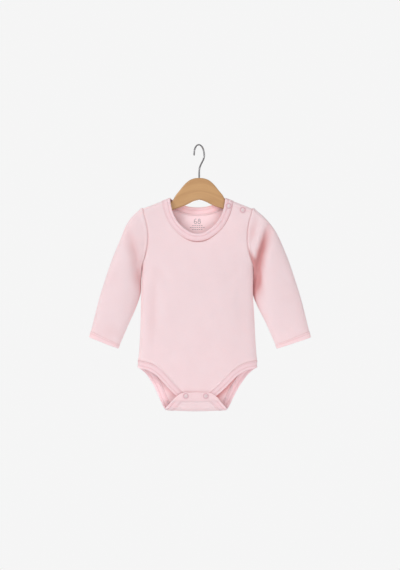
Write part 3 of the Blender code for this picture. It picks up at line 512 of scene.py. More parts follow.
def fold_depth(across, height, face):
    """How far the soft folds of the front or the back push the cloth inwards."""
    total = np.zeros(np.shape(across))
    for row in FOLDS:
        x0, z0, x1, z1, half_minus, half_plus, deep = row[1:8]
        if not row[face]:
            continue
        run = np.array([x1 - x0, z1 - z0], float)
        size = run @ run
        share = ((across - x0) * run[0] + (height - z0) * run[1]) / size
        reach = np.clip(share, 0, 1)
        aside = across - x0 - reach * run[0]
        away = np.hypot(aside, height - z0 - reach * run[1])
        mix = 0.5 + 0.5 * np.tanh(aside / FOLD_MIX)
        half = half_minus + (half_plus - half_minus) * mix
        swell = FOLD_END + (1 - FOLD_END) * np.sin(math.pi * reach)
        total += deep * swell * bell(away, half)
    return total


def body_depth(across, height, column, face):
    """Distance of a panel from the middle plane: flat, round at the sides and the shoulder."""
    out = np.clip(np.abs(across) / depth_at(height, MEET), 0, 1)
    side = np.clip(1 - out**SIDE_POWER, 0, 1) ** (1 / ROUND_POWER)
    under = np.clip((shoulder_height(across) - height) / SHOULDER_ROUND, 0, 1)
    over = np.sqrt(1 - (1 - under) ** 2)
    folds = fold_depth(across, height, face) + ripple(across, height)
    full = depth_at(height, column)
    return (full - folds * np.minimum(1, FOLD_EDGE * (1 - out)) * under) * side * over


def middle_at(height):
    """The garment's middle, which hangs a little to one side at its foot."""
    return BODY_X + read(SWAY, 1, height)


def drawn_in(across, height):
    """How far the +X side hangs inwards below its armpit."""
    near = bell(height - SIDE_PULL_AT, SIDE_PULL_HALF)
    return SIDE_PULL * near * np.clip(across / SHOULDER_TIP, 0, 1) ** SIDE_PULL_POWER


def front_point(across, height):
    """A point of the front panel."""
    x = middle_at(height) + across - drawn_in(across, height)
    depth = body_depth(across, height, FRONT_DEPTH, FRONT_FOLDS)
    return np.stack([x, -depth, height], axis=-1)


def back_point(across, distance):
    """A point of the back panel: down the back, round the crotch fold and up the flap."""
    turn = np.clip((distance + FOLD_START) / FOLD_RADIUS, 0, math.pi)
    up = np.maximum(distance + FOLD_START - math.pi * FOLD_RADIUS, 0)
    height = np.maximum(-distance, FOLD_START)
    depth = body_depth(across, height, BACK_DEPTH, BACK_FOLDS)
    depth = np.where(turn > 0, depth_at(FOLD_START, BACK_DEPTH), depth)
    y = depth - FOLD_RADIUS * (1 - np.cos(turn)) - FLAP_LEAN * up
    drop = FOLD_RADIUS - FOOT_BOW * (across / FOOT_HALF) ** 2
    z = height - drop * np.sin(turn) + up
    return np.stack([middle_at(z) + across - drawn_in(across, z), y, z], axis=-1)


def flap_distance(height):
    """The back panel's distance at a height of the flap."""
    return -FOLD_START + math.pi * FOLD_RADIUS + (height - FOLD_START)


# ---------------------------------------------------------------- columns and rows of the panels

def half_columns():
    """Shares of the panel's half width for its columns."""
    neck = np.linspace(0, NECK_SHARE, NECK_COLUMNS + 1)
    return np.concatenate([neck, NECK_SHARE + (1 - NECK_SHARE) * SHOULDER_STEPS[1:]])


def mirrored(half):
    """Points for every column from -X to +X, from those of the +X half."""
    flipped = half[:0:-1] * np.array([-1, 1])
    return np.vstack([flipped, half])


def neck_edge_half(rows):
    """The neck opening's edge from the middle to the shoulder."""
    edge = along(mirrored(np.array(rows[::-1])), 0.5 + NECK_STEPS / 2)
    edge[0, 0] = 0
    return edge


def neck_seam_half(rows, band):
    """The line at a band's width from that edge, out to the shoulder line."""
    edge = neck_edge_half(rows)
    seam = beside(edge, -band)
    seam[0, 0] = 0
    reach = NECK_SEAM_HALF - NECK_BAND + band
    corner = np.array([reach, shoulder_height(reach)])
    fade = NECK_STEPS[:, None] ** NECK_FADE
    return seam + fade * (corner - seam[-1])


def shoulder_half(start):
    """The shoulder edge from the neck band to the armhole."""
    x = start[0] + (SHOULDER_TIP - start[0]) * SHOULDER_STEPS[1:]
    return np.stack([x, shoulder_height(x)], axis=1)


def top_half(rows):
    """The panel's upper edge: along the neck, then the shoulder."""
    neck = neck_seam_half(rows, NECK_BAND - BAND_TUCK)
    return np.vstack([neck, shoulder_half(neck[-1])])


def leg_edge_half(rows):
    """The leg opening's edge from the tab's or flap's corner to the side seam."""
    return along(rows, FRONT_LEG_STEPS if rows is FRONT_LEG else BACK_LEG_STEPS)


def leg_seam_half(rows, end_half, way, band):
    """The line at a band's width from that edge, drawn to the corners at both ends."""
    edge = leg_edge_half(rows)
    seam = beside(edge, way * band)
    corner_height = LEG_CORNER_HEIGHT - LEG_BAND + band
    corner = depth_at(corner_height, MEET), math.copysign(-corner_height, seam[-1, 1])
    end = np.array([end_half, edge[0, 1]])
    start_fade = np.clip(1 - np.arange(len(seam)) / CORNER_STEPS, 0, 1)[:, None] ** 2
    seam = seam + start_fade[::-1] * (corner - seam[-1])
    return seam + start_fade * (end - seam[0])


def bottom_half(seam):
    """The panel's lower edge: along the tab's or flap's end, then the leg."""
    tab = np.linspace([0, seam[0, 1]], seam[0], TAB_COLUMNS + 1)[:-1]
    return np.vstack([tab, seam])


def side_shares(fold_rows):
    """Shares of the side seam's length, with close rows at its foot for the crotch fold."""
    if not fold_rows:
        close = np.array(LEG_STEPS) / lengths(np.array(SIDE))[-1]
        return np.concatenate([close[:-1], np.linspace(close[-1], 1, SIDE_ROWS)])
    fold = np.linspace(0, FOLD_SHARE, fold_rows + 1)
    return np.concatenate([fold[:-1], np.linspace(FOLD_SHARE, 1, SIDE_ROWS)])


def side_rows(fold_rows):
    """The +X side seam, then the armhole edge, from the leg to the shoulder."""
    side = along([(w, h) for h, w in SIDE], side_shares(fold_rows))
    arm = along([(w, h) for h, w in ARMHOLE], ARMHOLE_STEPS)
    return np.vstack([side, arm[1:]])


def patch(bottom, top, side, rows_share):
    """A net over the area between four edges, in across and height."""
    columns = half_columns()
    across = np.concatenate([-columns[:0:-1], columns])
    u = ((across + 1) / 2)[None, :, None]
    v = rows_share[:, None, None]
    left = side * np.array([-1, 1])
    bottom, top = bottom[None], top[None]
    right, left = side[:, None], left[:, None]
    edges = (1 - v) * bottom + v * top + (1 - u) * left + u * right
    corners = (
        (1 - v) * ((1 - u) * bottom[:, :1] + u * bottom[:, -1:])
        + v * ((1 - u) * top[:, :1] + u * top[:, -1:])
    )
    return edges - corners


# ---------------------------------------------------------------- meshes

def unit(vectors):
    size = np.linalg.norm(vectors, axis=-1, keepdims=True)
    return vectors / np.maximum(size, 1e-9)


def facing(point, flat, step=SLOPE_STEP):
    """Outward normals of a panel's surface at across and height, or at across and distance."""
    x, z = flat[..., 0], flat[..., 1]
    run = point(x + step, z) - point(x - step, z)
    return unit(np.cross(run, point(x, z + step) - point(x, z - step)))


# ---------------------------------------------------------------- walls of cloth

def joined(net, closed):
    """The net, a closed one with its first column again after its last."""
    return np.concatenate([net, net[:, :1]], axis=1) if closed else net


def normals_of(net, closed):
    """Normals of a net, from how it runs across and up."""
    wide = np.concatenate([net[:, -1:], joined(net, True)], axis=1) if closed else net
    across = np.gradient(wide, axis=1)
    return unit(np.cross(across[:, 1:-1] if closed else across, np.gradient(net, axis=0)))


def run_lengths(net, closed=False):
    """Flat places of a net's points: distance along its rows and up its columns."""
    wide = joined(net, closed)
    u = np.cumsum(np.linalg.norm(np.diff(wide, axis=1, prepend=wide[:, :1]), axis=2), axis=1)
    v = np.cumsum(np.linalg.norm(np.diff(wide, axis=0, prepend=wide[:1]), axis=2), axis=0)
    u -= u[:, u.shape[1] // 2][:, None]
    return np.stack([u, v], axis=2)


def quads(rows, steps, width, turn):
    """Corner numbers of the quads between rows of a net that is width points wide."""
    low = np.arange(rows - 1)[:, None] * width
    left, right = low + np.arange(steps), low + (np.arange(steps) + 1) % turn
    return np.stack([left, right, right + width, left + width], axis=-1).reshape(-1, 4)


def rims(rows, columns, closed):
    """The open borders' points, in the order in which the outside's quads pass them."""
    index = np.arange(rows * columns).reshape(rows, columns)
    if closed:
        return [index[0], index[-1][::-1]]
    return [np.concatenate([index[0, :-1], index[:-1, -1], index[-1, :0:-1], index[:0:-1, 0]])]


def outwards(net, closed):
    """At the borders, the way out of the net."""
    way = np.zeros_like(net)
    way[0] += unit(net[0] - net[1])
    way[-1] += unit(net[-1] - net[-2])
    if not closed:
        way[:, 0] += unit(net[:, 0] - net[:, 1])
        way[:, -1] += unit(net[:, -1] - net[:, -2])
    return unit(way).reshape(-1, 3)


def wall(name, net, normals, thick, material, closed=False, flat=None, painted_shade=None, inside=0):
    """Cloth with round edges about a net of points. flat gives the places for the knit; the next
    two give the painted shade on both faces and the extra painted shade on the inner face."""
    rows, columns = net.shape[:2]
    wide = columns + closed
    flat = run_lengths(net, closed) if flat is None else flat
    half = np.broadcast_to(thick, (rows, columns)).reshape(-1, 1) / 2
    middle, out = net.reshape(-1, 3), normals.reshape(-1, 3)
    way = outwards(net, closed)
    count = len(middle)
    points = [middle + out * half, middle - out * half]
    painted_shade = np.zeros(count) if painted_shade is None else np.clip(painted_shade, 0, 1).ravel()
    shade_values = [painted_shade, painted_shade + np.ravel(inside)]
    outside = quads(rows, wide - 1, columns, columns)
    places = quads(rows, wide - 1, wide, wide + 1)
    faces, corners = [outside, outside[:, ::-1] + count], [places, places[:, ::-1]]
    start = 2 * count
    for rim in rims(rows, columns, closed):
        place = rim // columns * wide + rim % columns
        next_place = np.roll(place, -1)
        layers = [rim]
        for k in range(1, RIM_STEPS):
            turn = math.pi * k / RIM_STEPS
            lift, reach = half[rim] * math.cos(turn), half[rim] * math.sin(turn)
            points.append(middle[rim] + out[rim] * lift + way[rim] * reach)
            shade_values.append(painted_shade[rim])
            layers.append(start + np.arange(len(rim)))
            start += len(rim)
        layers.append(rim + count)
        for upper, lower in zip(layers, layers[1:]):
            faces.append(np.stack([np.roll(upper, -1), upper, lower, np.roll(lower, -1)], axis=1))
            corners.append(np.stack([next_place, place, place, next_place], axis=1))
    return cloth_mesh(name, np.vstack(points), np.vstack(faces), material,
                      flat.reshape(-1, 2)[np.vstack(corners).ravel()], np.concatenate(shade_values))


def cloth_mesh(name, points, faces, material, places, shade_values):
    """A piece of cloth with the knit's flat places and its painted shade."""
    piece = meshed(name, points, faces.tolist(), material)
    tone(piece, shade_values)
    layer = piece.data.uv_layers.new(name=KNIT_PLACES)
    layer.data.foreach_set("uv", (places * MM).astype(np.float32).ravel())
    return piece


def tone(piece, shade_values):
    """Gives each point how much painted shade it has."""
    layer = piece.data.attributes.new(PAINTED_SHADE_LAYER, "FLOAT", "POINT")
    layer.data.foreach_set("value", shade_values.astype(np.float32))


def meshed(name, points, faces, material):
    """A piece from points in millimetres."""
    mesh = bpy.data.meshes.new(name)
    mesh.from_pydata((points.reshape(-1, 3) * MM).tolist(), [], faces)
    return linked(name, mesh, material)


def freed(name, made, material):
    """A piece from a bmesh, which it frees."""
    mesh = bpy.data.meshes.new(name)
    made.to_mesh(mesh)
    made.free()
    return linked(name, mesh, material)


def linked(name, mesh, material):
    """An object for the mesh, in its finish."""
    mesh.shade_smooth()
    mesh.materials.append(material)
    piece = bpy.data.objects.new(name, mesh)
    bpy.context.scene.collection.objects.link(piece)
    return piece


def settle(piece, nodes):
    """The piece rides on the garment's one body and stands for its plain solids."""
    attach(piece, BODY)
    if nodes:
        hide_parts(*nodes)


def declare_cloth(net, closed=False, width=0, length=0, tall=np.median):
    """Works out the cut of a net of cloth laid flat, in metres: its longest row for the width and
    its columns' length, as tall picks it, where they aren't given, and its area; none of these is
    kept."""
    cut = joined(net, closed)
    width = (width or np.linalg.norm(np.diff(cut, axis=1), axis=2).sum(axis=1).max()) * MM
    length = (length or tall(np.linalg.norm(np.diff(cut, axis=0), axis=2).sum(axis=0))) * MM
    run, over = cut[1:, 1:] - cut[:-1, :-1], cut[1:, :-1] - cut[:-1, 1:]
    area = np.linalg.norm(np.cross(run, over), axis=2).sum() / 2 * MM * MM
    area = min(area, width * length)


# ---------------------------------------------------------------- the panels' fine shape

def dip(distance):
    """How deep the cloth sinks beside a seam."""
    return SEAM_DIP * bell(distance, SEAM_WIDTH)


def from_border(net, axis, end):
    """Distance of each point of a net from one of its borders, along rows or columns."""
    border = np.take(net, [-end], axis=axis)
    return np.linalg.norm(net - border, axis=2)


def fold_shade(depth):
    """How much painted shade a fold has, from 0 to 1."""
    return np.clip(depth / FOLD_FULL, 0, 1) ** PAINTED_SHADE_POWER


def ripple(across, height):
    """The slight unevenness of hanging cloth."""
    total = np.zeros(np.shape(across))
    for wave, degrees, shift, lift in RIPPLES:
        turn = math.radians(degrees)
        place = (across * math.cos(turn) + height * math.sin(turn)) / wave
        total += lift * np.sin(2 * math.pi * (place + shift))
    return total


def panel_net(point, bottom, top, fold_rows=0):
    """The panel's net from the +X halves of its lower and upper edges, with its flat places."""
    side = side_rows(fold_rows)
    way = np.array([1, 1 if bottom[-1, 1] < 0 else -1])
    side = side * way
    side[0] = bottom[-1]
    share = lengths(side) / lengths(side)[-1]
    flat = patch(mirrored(bottom), mirrored(top * way), side, share)
    return point(flat[..., 0], flat[..., 1]), facing(point, flat), flat * way


def seamed(net, normals, band_shade):
    """Brings the side and shoulder seams to the middle plane and sinks the cloth along them."""
    seam = np.zeros(net.shape[:2], bool)
    seam[-1, : SHOULDER_COLUMNS + 1] = seam[-1, -SHOULDER_COLUMNS - 1 :] = True
    side = net.shape[0] - ARMHOLE_ROWS
    seam[:side, 0] = seam[:side, -1] = True
    net[seam, 1] = 0
    normals[seam, 1] = 0
    normals = unit(normals)
    sink = dip(from_border(net, 1, 0)) + dip(from_border(net, 1, 1))
    sink[side:] *= ARMHOLE_DIP
    below, above = (from_border(net, 0, end) - BAND_TUCK for end in (0, 1))
    above[:, :SHOULDER_COLUMNS] += BAND_TUCK
    above[:, -SHOULDER_COLUMNS:] += BAND_TUCK
    band, leg = (
        bell(np.maximum(away, 0), line) * np.clip(1 + away / TUCK_RISE, 0, 1)
        for away, line in ((above, BAND_LINE), (below, LEG_LINE))
    )
    # painted shade along the seams, beside the neck band (deepest on its side away from the key
    # light) and beside the leg bands
    band_shade = band_shade * lee(net[-2] - net[-1])
    painted_shade = sink / (ARMHOLE_DIP * SEAM_DIP) * SEAM_SHADE + band * band_shade + leg * LEG_LINE_SHADE
    sink += BAND_DIP * band + LEG_DIP * leg
    sink -= LEG_RIDGE * bell(below - LEG_RIDGE_AT, LEG_RIDGE_HALF)
    return net - normals * sink[..., None], normals, painted_shade


def front_net():
    """The front panel's net, normals, flat places and painted shade."""
    seam = leg_seam_half(FRONT_LEG, TAB_HALF, 1, LEG_BAND - BAND_TUCK)
    net, normals, flat = panel_net(front_point, bottom_half(seam), top_half(FRONT_NECK))
    folds = fold_depth(flat[..., 0], flat[..., 1], FRONT_FOLDS)
    net, normals, painted_shade = seamed(net, normals, BAND_EDGE_SHADE)
    return net, normals, flat, painted_shade + fold_shade(folds - BODY_FOLD)


def leg_shade(flat):
    """Painted shadow on the back panel's inside, below the front's leg edges."""
    total = np.zeros(flat.shape[:2])
    for side, deep in LEG_SHADE.items():
        edge = along(FRONT_LEG, np.linspace(0, 1, LINE_STEPS)) * (side, 1)
        away = np.linalg.norm(flat[..., None, :] - edge, axis=-1).min(axis=-1)
        total += deep * bell(away, LEG_SHADE_REACH)
    return total


def back_net():
    """The same of the back panel with its crotch fold and flap."""
    seam = leg_seam_half(BACK_LEG, FLAP_SEAM_HALF, -1, LEG_BAND - BAND_TUCK)
    net, normals, flat = panel_net(back_point, bottom_half(seam), top_half(BACK_NECK), FOLD_ROWS)
    net, normals, painted_shade = seamed(net[:, ::-1], normals[:, ::-1], SEAM_SHADE)
    return net, normals, flat[:, ::-1], painted_shade


# ---------------------------------------------------------------- sleeves

def sleeve_shares():
    """Shares of the sleeve's length for its rings: close at the armhole and round the hem."""
    length = lengths(np.array(SLEEVE_OVER))[-1]
    start = np.array(SLEEVE_START) / length
    hem = 1 - CUFF_HEM / length
    rings = np.linspace(start[-1], hem - HEM_LEAD / length, SLEEVE_RINGS + 1)[1:]
    close = hem + np.array(HEM_STEPS) / length
    end = 1 - np.array(CUFF_STEPS) / length
    return np.concatenate([start, rings, close, end])


def armhole_ring(side, front, back):
    """The panels' armhole edges as one ring, from the shoulder down the front and up the back."""
    halves = []
    for net, column in ((front[0], -1), (back[0], 0)):
        column = column if side > 0 else -1 - column
        points = net[-ARMHOLE_ROWS - 1 :, column][::-1].copy()
        points[[0, -1], 1] = 0
        halves.append(points)
    return np.vstack([halves[0], halves[1][-2:0:-1]])


def sleeve_net(side, first):
    """Rings from the armhole to the cuff: flat tubes between the upper and the under edge."""
    shares = sleeve_shares()
    over = along(SLEEVE_OVER, shares)
    under = along(SLEEVE_UNDER, shares)
    over[:, 0] += side * SLEEVE_FULLER * eased(over[:, 1], *FULLER_RANGE)
    down = 1 - ARMHOLE_STEPS[::-1]
    down = np.concatenate([down, down[-2:0:-1]])
    face = np.repeat([-1, 1], [ARMHOLE_ROWS + 1, ARMHOLE_ROWS - 1])
    profile = np.clip(1 - np.abs(2 * down - 1) ** ROUND_POWER, 0, 1) ** (1 / ROUND_POWER)
    start = first[:, [0, 2]] * np.array([side, 1]) - np.array([side * BODY_X, 0])
    ends = start[0], start[ARMHOLE_ROWS]
    bow = start - (ends[0] + down[:, None] * (ends[1] - ends[0]))
    deep = read(SLEEVE_DEPTH, 1, shares)
    tucks = SLEEVE_TUCK[side] * read(TUCK_SHARES, 1, shares)
    # painted shade in each sleeve's tuck behind the body's edge
    tuck_shades = TUCK_SHADE[side] * read(TUCK_SHARES, 2, shares)
    under_part = eased(down, TUCK_FROM, 1)
    shade = eased(down, *SHADE_RANGE)
    rings, painted_shades = [first], [np.zeros(len(down))]
    for k in range(1, len(shares)):
        bend = max(0, 1 - shares[k] / SLEEVE_BEND) ** 2
        keep = max(0, 1 - shares[k] / SLEEVE_FLATTEN) ** 2
        flat = over[k] + down[:, None] * (under[k] - over[k]) + bow * bend
        x, z = side * flat[:, 0], flat[:, 1]
        folds = [fold_depth(x, z, column) for column in (FRONT_FOLDS, BACK_FOLDS)]
        folds = np.where(face < 0, *folds) + ripple(x, z)
        y = (deep[k] - folds * min(1, shares[k] / FOLD_FADE)) * profile * face
        y = keep * first[:, 1] + (1 - keep) * (y + tucks[k] * under_part)
        if side > 0:
            x = x - SLEEVE_PULL * drawn_in(x, z) * under_part
        rings.append(np.stack([BODY_X + x, y, z], axis=1))
        # painted shade on the sleeve's front: in its folds and in its tuck beside the body
        painted_shades.append(np.where(face < 0, fold_shade(folds) + shade * tuck_shades[k], 0))
    return np.stack(rings), shares, np.stack(painted_shades)


def shaped_sleeve(side, hem):
    """Net, normals, wall thickness, distance past the hem's start and painted shade of a sleeve.
    """
    first = armhole_ring(side, front_net(), back_net())
    net, shares, painted_shade = sleeve_net(side, first)
    if side < 0:
        net, painted_shade = net[:, ::-1], painted_shade[:, ::-1]
    normals = normals_of(net, True)
    normals[0] = normals[1]
    away = from_border(net, 0, 0)
    lift = SLEEVE_RIDGE * bell(away - SLEEVE_RIDGE_AT, SLEEVE_RIDGE_HALF)
    net = net + normals * (lift - ARMHOLE_DIP * dip(away))[..., None]
    # painted shade along the armhole seam
    painted_shade = painted_shade + dip(away) / SEAM_DIP * SEAM_SHADE
    length = lengths(np.array(SLEEVE_OVER))[-1]
    past = (shares - 1) * length + CUFF_HEM
    thick = CLOTH + (hem - CLOTH) * eased(past, 0, HEM_RISE)
    # the cuffs' stitch rows: thinner cloth and painted shade
    for row in CUFF_ROWS:
        line = bell(past - row, CUFF_LINE)
        thick = thick - STITCH_DIP * line
        painted_shade = painted_shade + CUFF_SHADE * line[:, None]
    return net, normals, thick[:, None], past, painted_shade


# ---------------------------------------------------------------- bindings

def strip(point, edge, seam):
    """Rows from the opening's edge to the seam, with their normals."""
    shares = np.array(table(BAND_SECTION, 0))[:, None, None]
    flat = edge + shares * (seam - edge)
    return point(flat[..., 0], flat[..., 1]), facing(point, flat)


def band_thickness(thick):
    """Thickness across a binding, thinner along its stitch rows."""
    return np.array(table(BAND_SECTION, 1))[:, None] * thick


def lee(way):
    """How much painted shadow lies under the neck band's edge, by the way that edge faces."""
    return LEE_LEAST + (1 - LEE_LEAST) * np.clip(unit(way) @ np.array(LEE_WAY), 0, 1)


def band_painted_shade(net, rim_shade):
    """Painted shade in a band's two stitched lines and along its outer rim."""
    deep = np.clip(STITCH_SHADE_FROM - np.array(table(BAND_SECTION, 1)), 0, 1) * STITCH_SHADE
    deep[:2] = 0
    deep = np.repeat(deep[:, None], net.shape[1], axis=1)
    deep[-1] = rim_shade * lee(net[-1] - net[0])
    return deep


def neck_band_net():
    """One band from the snap shoulder round the front, over the other shoulder and back."""
    runs = []
    for point, rows, way in ((front_point, FRONT_NECK, 1), (back_point, BACK_NECK, -1)):
        edge, seam = mirrored(neck_edge_half(rows)), mirrored(neck_seam_half(rows, NECK_BAND))
        runs.append(strip(point, edge * (1, way), seam * (1, way)))
    (front, front_out), (back, back_out) = runs
    net = np.concatenate([front[:, ::-1], back[:, 1:]], axis=1)
    normals = np.concatenate([front_out[:, ::-1], back_out[:, 1:]], axis=1)
    net[:, [0, -1], 1] = (-BAND_END, BAND_END)
    normals[:, [0, front.shape[1] - 1, -1], 1] = 0
    return net, unit(normals)


def leg_band_net(side):
    """One band from the front tab round the side seam, along the seat and up the flap."""
    runs = []
    for point, rows, end, way in (
        (front_point, FRONT_LEG, TAB_HALF, 1),
        (back_point, BACK_LEG, FLAP_SEAM_HALF, -1),
    ):
        seam = leg_seam_half(rows, end, way, LEG_BAND)
        flip = np.array([side, 1])
        runs.append(strip(point, leg_edge_half(rows) * flip, seam * flip))
    (front, front_out), (back, back_out) = runs
    net = np.concatenate([front, back[:, -2::-1]], axis=1)
    normals = np.concatenate([front_out, back_out[:, -2::-1]], axis=1)
    corner = front.shape[1] - 1
    net[:, corner, 1] = normals[:, corner, 1] = 0
    if side < 0:
        net, normals = net[::-1], normals[::-1]
    return net, unit(normals)


def hem_net():
    """The flap's turned end, across the back panel and both bindings."""
    outline = along([(half, height) for height, half in FLAP_HEM], np.linspace(0, 1, HEM_ROWS))
    across = np.sin(np.linspace(-1, 1, HEM_COLUMNS) * math.pi / 2)
    x = outline[:, :1] * across
    z = np.broadcast_to(outline[:, 1:], x.shape)
    net = back_point(x, flap_distance(z))
    return net, normals_of(net, False)


def underlap_net():
    """The back shoulder's strip that lies under the snapped edge of the front."""
    across = np.linspace(*UNDERLAP, UNDERLAP_COLUMNS)
    shares = np.linspace(0, 1, UNDERLAP_ROWS)
    below = np.interp(shares, table(UNDERLAP_DROPS, 0), table(UNDERLAP_DROPS, 1))
    rows = []
    for drop in below:
        line = front_point(across, shoulder_height(across) - abs(drop))
        if drop < 0:
            line[:, 1] = -line[:, 1]
        rows.append(line)
    net = np.stack(rows[::-1])
    normals = normals_of(net, False)
    return net - normals * LAP, normals


# ---------------------------------------------------------------- stitches

def stitch_row(path, normals, size, pitch):
    """Centres, ways and normals of the stitches along a line on the cloth."""
    travelled = lengths(path)
    count = max(2, int(travelled[-1] / pitch))
    places = (np.arange(count) + 0.5) * travelled[-1] / count
    centre, up, ahead, behind = (
        np.stack([np.interp(places + shift, travelled, column) for column in values.T], axis=1)
        for values, shift in ((path, 0), (normals, 0), (path, size / 2), (path, -size / 2))
    )
    return centre, unit(ahead - behind), unit(up)


def stitches(context, name, rows):
    """Rows of thread, each stitch a small bow that dives into the cloth at both ends."""
    size, pitch, thread = (set_size(context, key) for key in ("stitch", "pitch", "thread"))
    reach, lift, fat = (STITCH_BOW * (size, thread, thread)).T
    points, faces = [], []
    turn = np.arange(STITCH_SIDES) * 2 * math.pi / STITCH_SIDES
    belt = np.arange(STITCH_SIDES)
    start = 0
    for path, normals in rows:
        centres, ways, ups = stitch_row(path, normals, size, pitch)
        for centre, way, up, flank in zip(centres, ways, ups, np.cross(ways, ups)):
            spine = centre + reach[:, None] * way + lift[:, None] * up
            ring = np.cos(turn)[:, None] * flank + np.sin(turn)[:, None] * up
            points.append((spine[:, None] + fat[:, None, None] * ring).reshape(-1, 3))
            first = start + belt
            for _ in reach[1:]:
                a, b = start + belt, start + np.roll(belt, -1)
                faces += np.stack([a, b, b + STITCH_SIDES, a + STITCH_SIDES], axis=1).tolist()
                start += STITCH_SIDES
            faces += [first[::-1].tolist(), (start + belt).tolist()]
            start += STITCH_SIDES
    settle(meshed(name, np.vstack(points), faces, finish(context, "sewing thread")), ())


def laid_line(point, places, lift):
    """A line on a panel, lifted off it, through places across and high or far, with normals."""
    flat = along(places, np.linspace(0, 1, LINE_STEPS))
    out = facing(point, flat)
    return point(flat[:, 0], flat[:, 1]) + out * lift, out


def band_stitches(net, normals, share, thick):
    """A line along a binding's outside, at a share of its width from the opening's edge."""
    shares = np.array(table(BAND_SECTION, 0))
    half = np.interp(share, shares, table(BAND_SECTION, 1)) * thick / 2
    row = np.searchsorted(shares, share)
    part = (share - shares[row - 1]) / (shares[row] - shares[row - 1])
    line, out = (rows[row - 1] * (1 - part) + rows[row] * part for rows in (net, normals))
    return line + unit(out) * half, unit(out)


# ---------------------------------------------------------------- finishes

# noises: scale to a metre, detail, roughness, lowest and highest value
LOOP_WOBBLE = (160.0, 2.0, 0.5, -0.12, 0.12)  # in loops
KNIT_CLOUD = (26.0, 3.0, 0.6, 0.985, 1.015)
KNIT_SPECK = (900.0, 2.0, 0.6, 0.97, 1.03)
KNIT_ROUGH = (700.0, 2.0, 0.5, CLOTH_ROUGHNESS - 0.08, CLOTH_ROUGHNESS + 0.08)
THREAD_TONE = (300.0, 2.0, 0.5, 0.93, 1.05)
ENAMEL_TONE = (220.0, 3.0, 0.5, 0.94, 1.06)
ENAMEL_ROUGH = (600.0, 2.0, 0.5, 0.24, 0.42)
STEEL_TONE = (90.0, 2.0, 0.5, 0.9, 1.05)
INK_TONE = (1500.0, 2.0, 0.7, 0.85, 1.2)
# noises: scale, detail, roughness
KNIT_FUZZ = (2600.0, 3.0, 0.7)
THREAD_TWIST = (3500.0, 2.0, 0.6)
ENAMEL_GRAIN = (900.0, 2.0, 0.5)
STEEL_SCRATCH = (1.0, 2.0, 0.6)
INK_GRAIN = (2200.0, 2.0, 0.5)
WOOD_WARP = (3.0, 3.0, 0.55)
WOOD_FIBRE = (1.0, 3.0, 0.65)
# bumps: depth in millimetres, strength
THREAD_BUMP = (0.05, 0.6)
ENAMEL_BUMP = (0.02, 0.4)
WOOD_BUMP = (0.06, 0.5)
STEEL_BUMP = (0.02, 0.4)
INK_BUMP = (0.03, 0.5)

LOOP_SLANT = 1.1  # how far a loop's legs lean, in rows for each column
LOOP_SHARE = 0.25  # how much of the ridges' height the loops take
FUZZ_SHARE = 0.5  # height of the fuzz, times that of the ridges
KNIT_DEPTH = 0.16  # millimetres, as is the next
RIB_DEPTH = 0.24
KNIT_BUMP = 0.8  # strength of both
RIB_WIDTH = 1.25  # times the knit's wale
GROOVE_SHADE = 0.95  # painted shade between the knit's ridges
CREASE_SAMPLES = 8
ARM_EASE = 0.0004  # square metres: how softly the grain bends at the hanger's middle
SHEET_STRETCH = (2.2, 9.0, 16.0)  # the wood's yearly sheets: scale along each axis
SHEETS = 9.0  # how many to each step of that scale
SHEET_WARP = 7.0  # how far they bend, in sheets
SHEET_SHARE = 0.4  # how much of the darker grain's colour they bring in
FIBRE_STRETCH = (60.0, 900.0, 1400.0)
FIBRE_SHARE = 0.45
WOOD_ROUGH = (0.36, 0.56)
STEEL_STRETCH = (4200.0, 4200.0, 260.0)  # scratches: scale along each axis
STEEL_ROUGH = (0.2, 0.42)


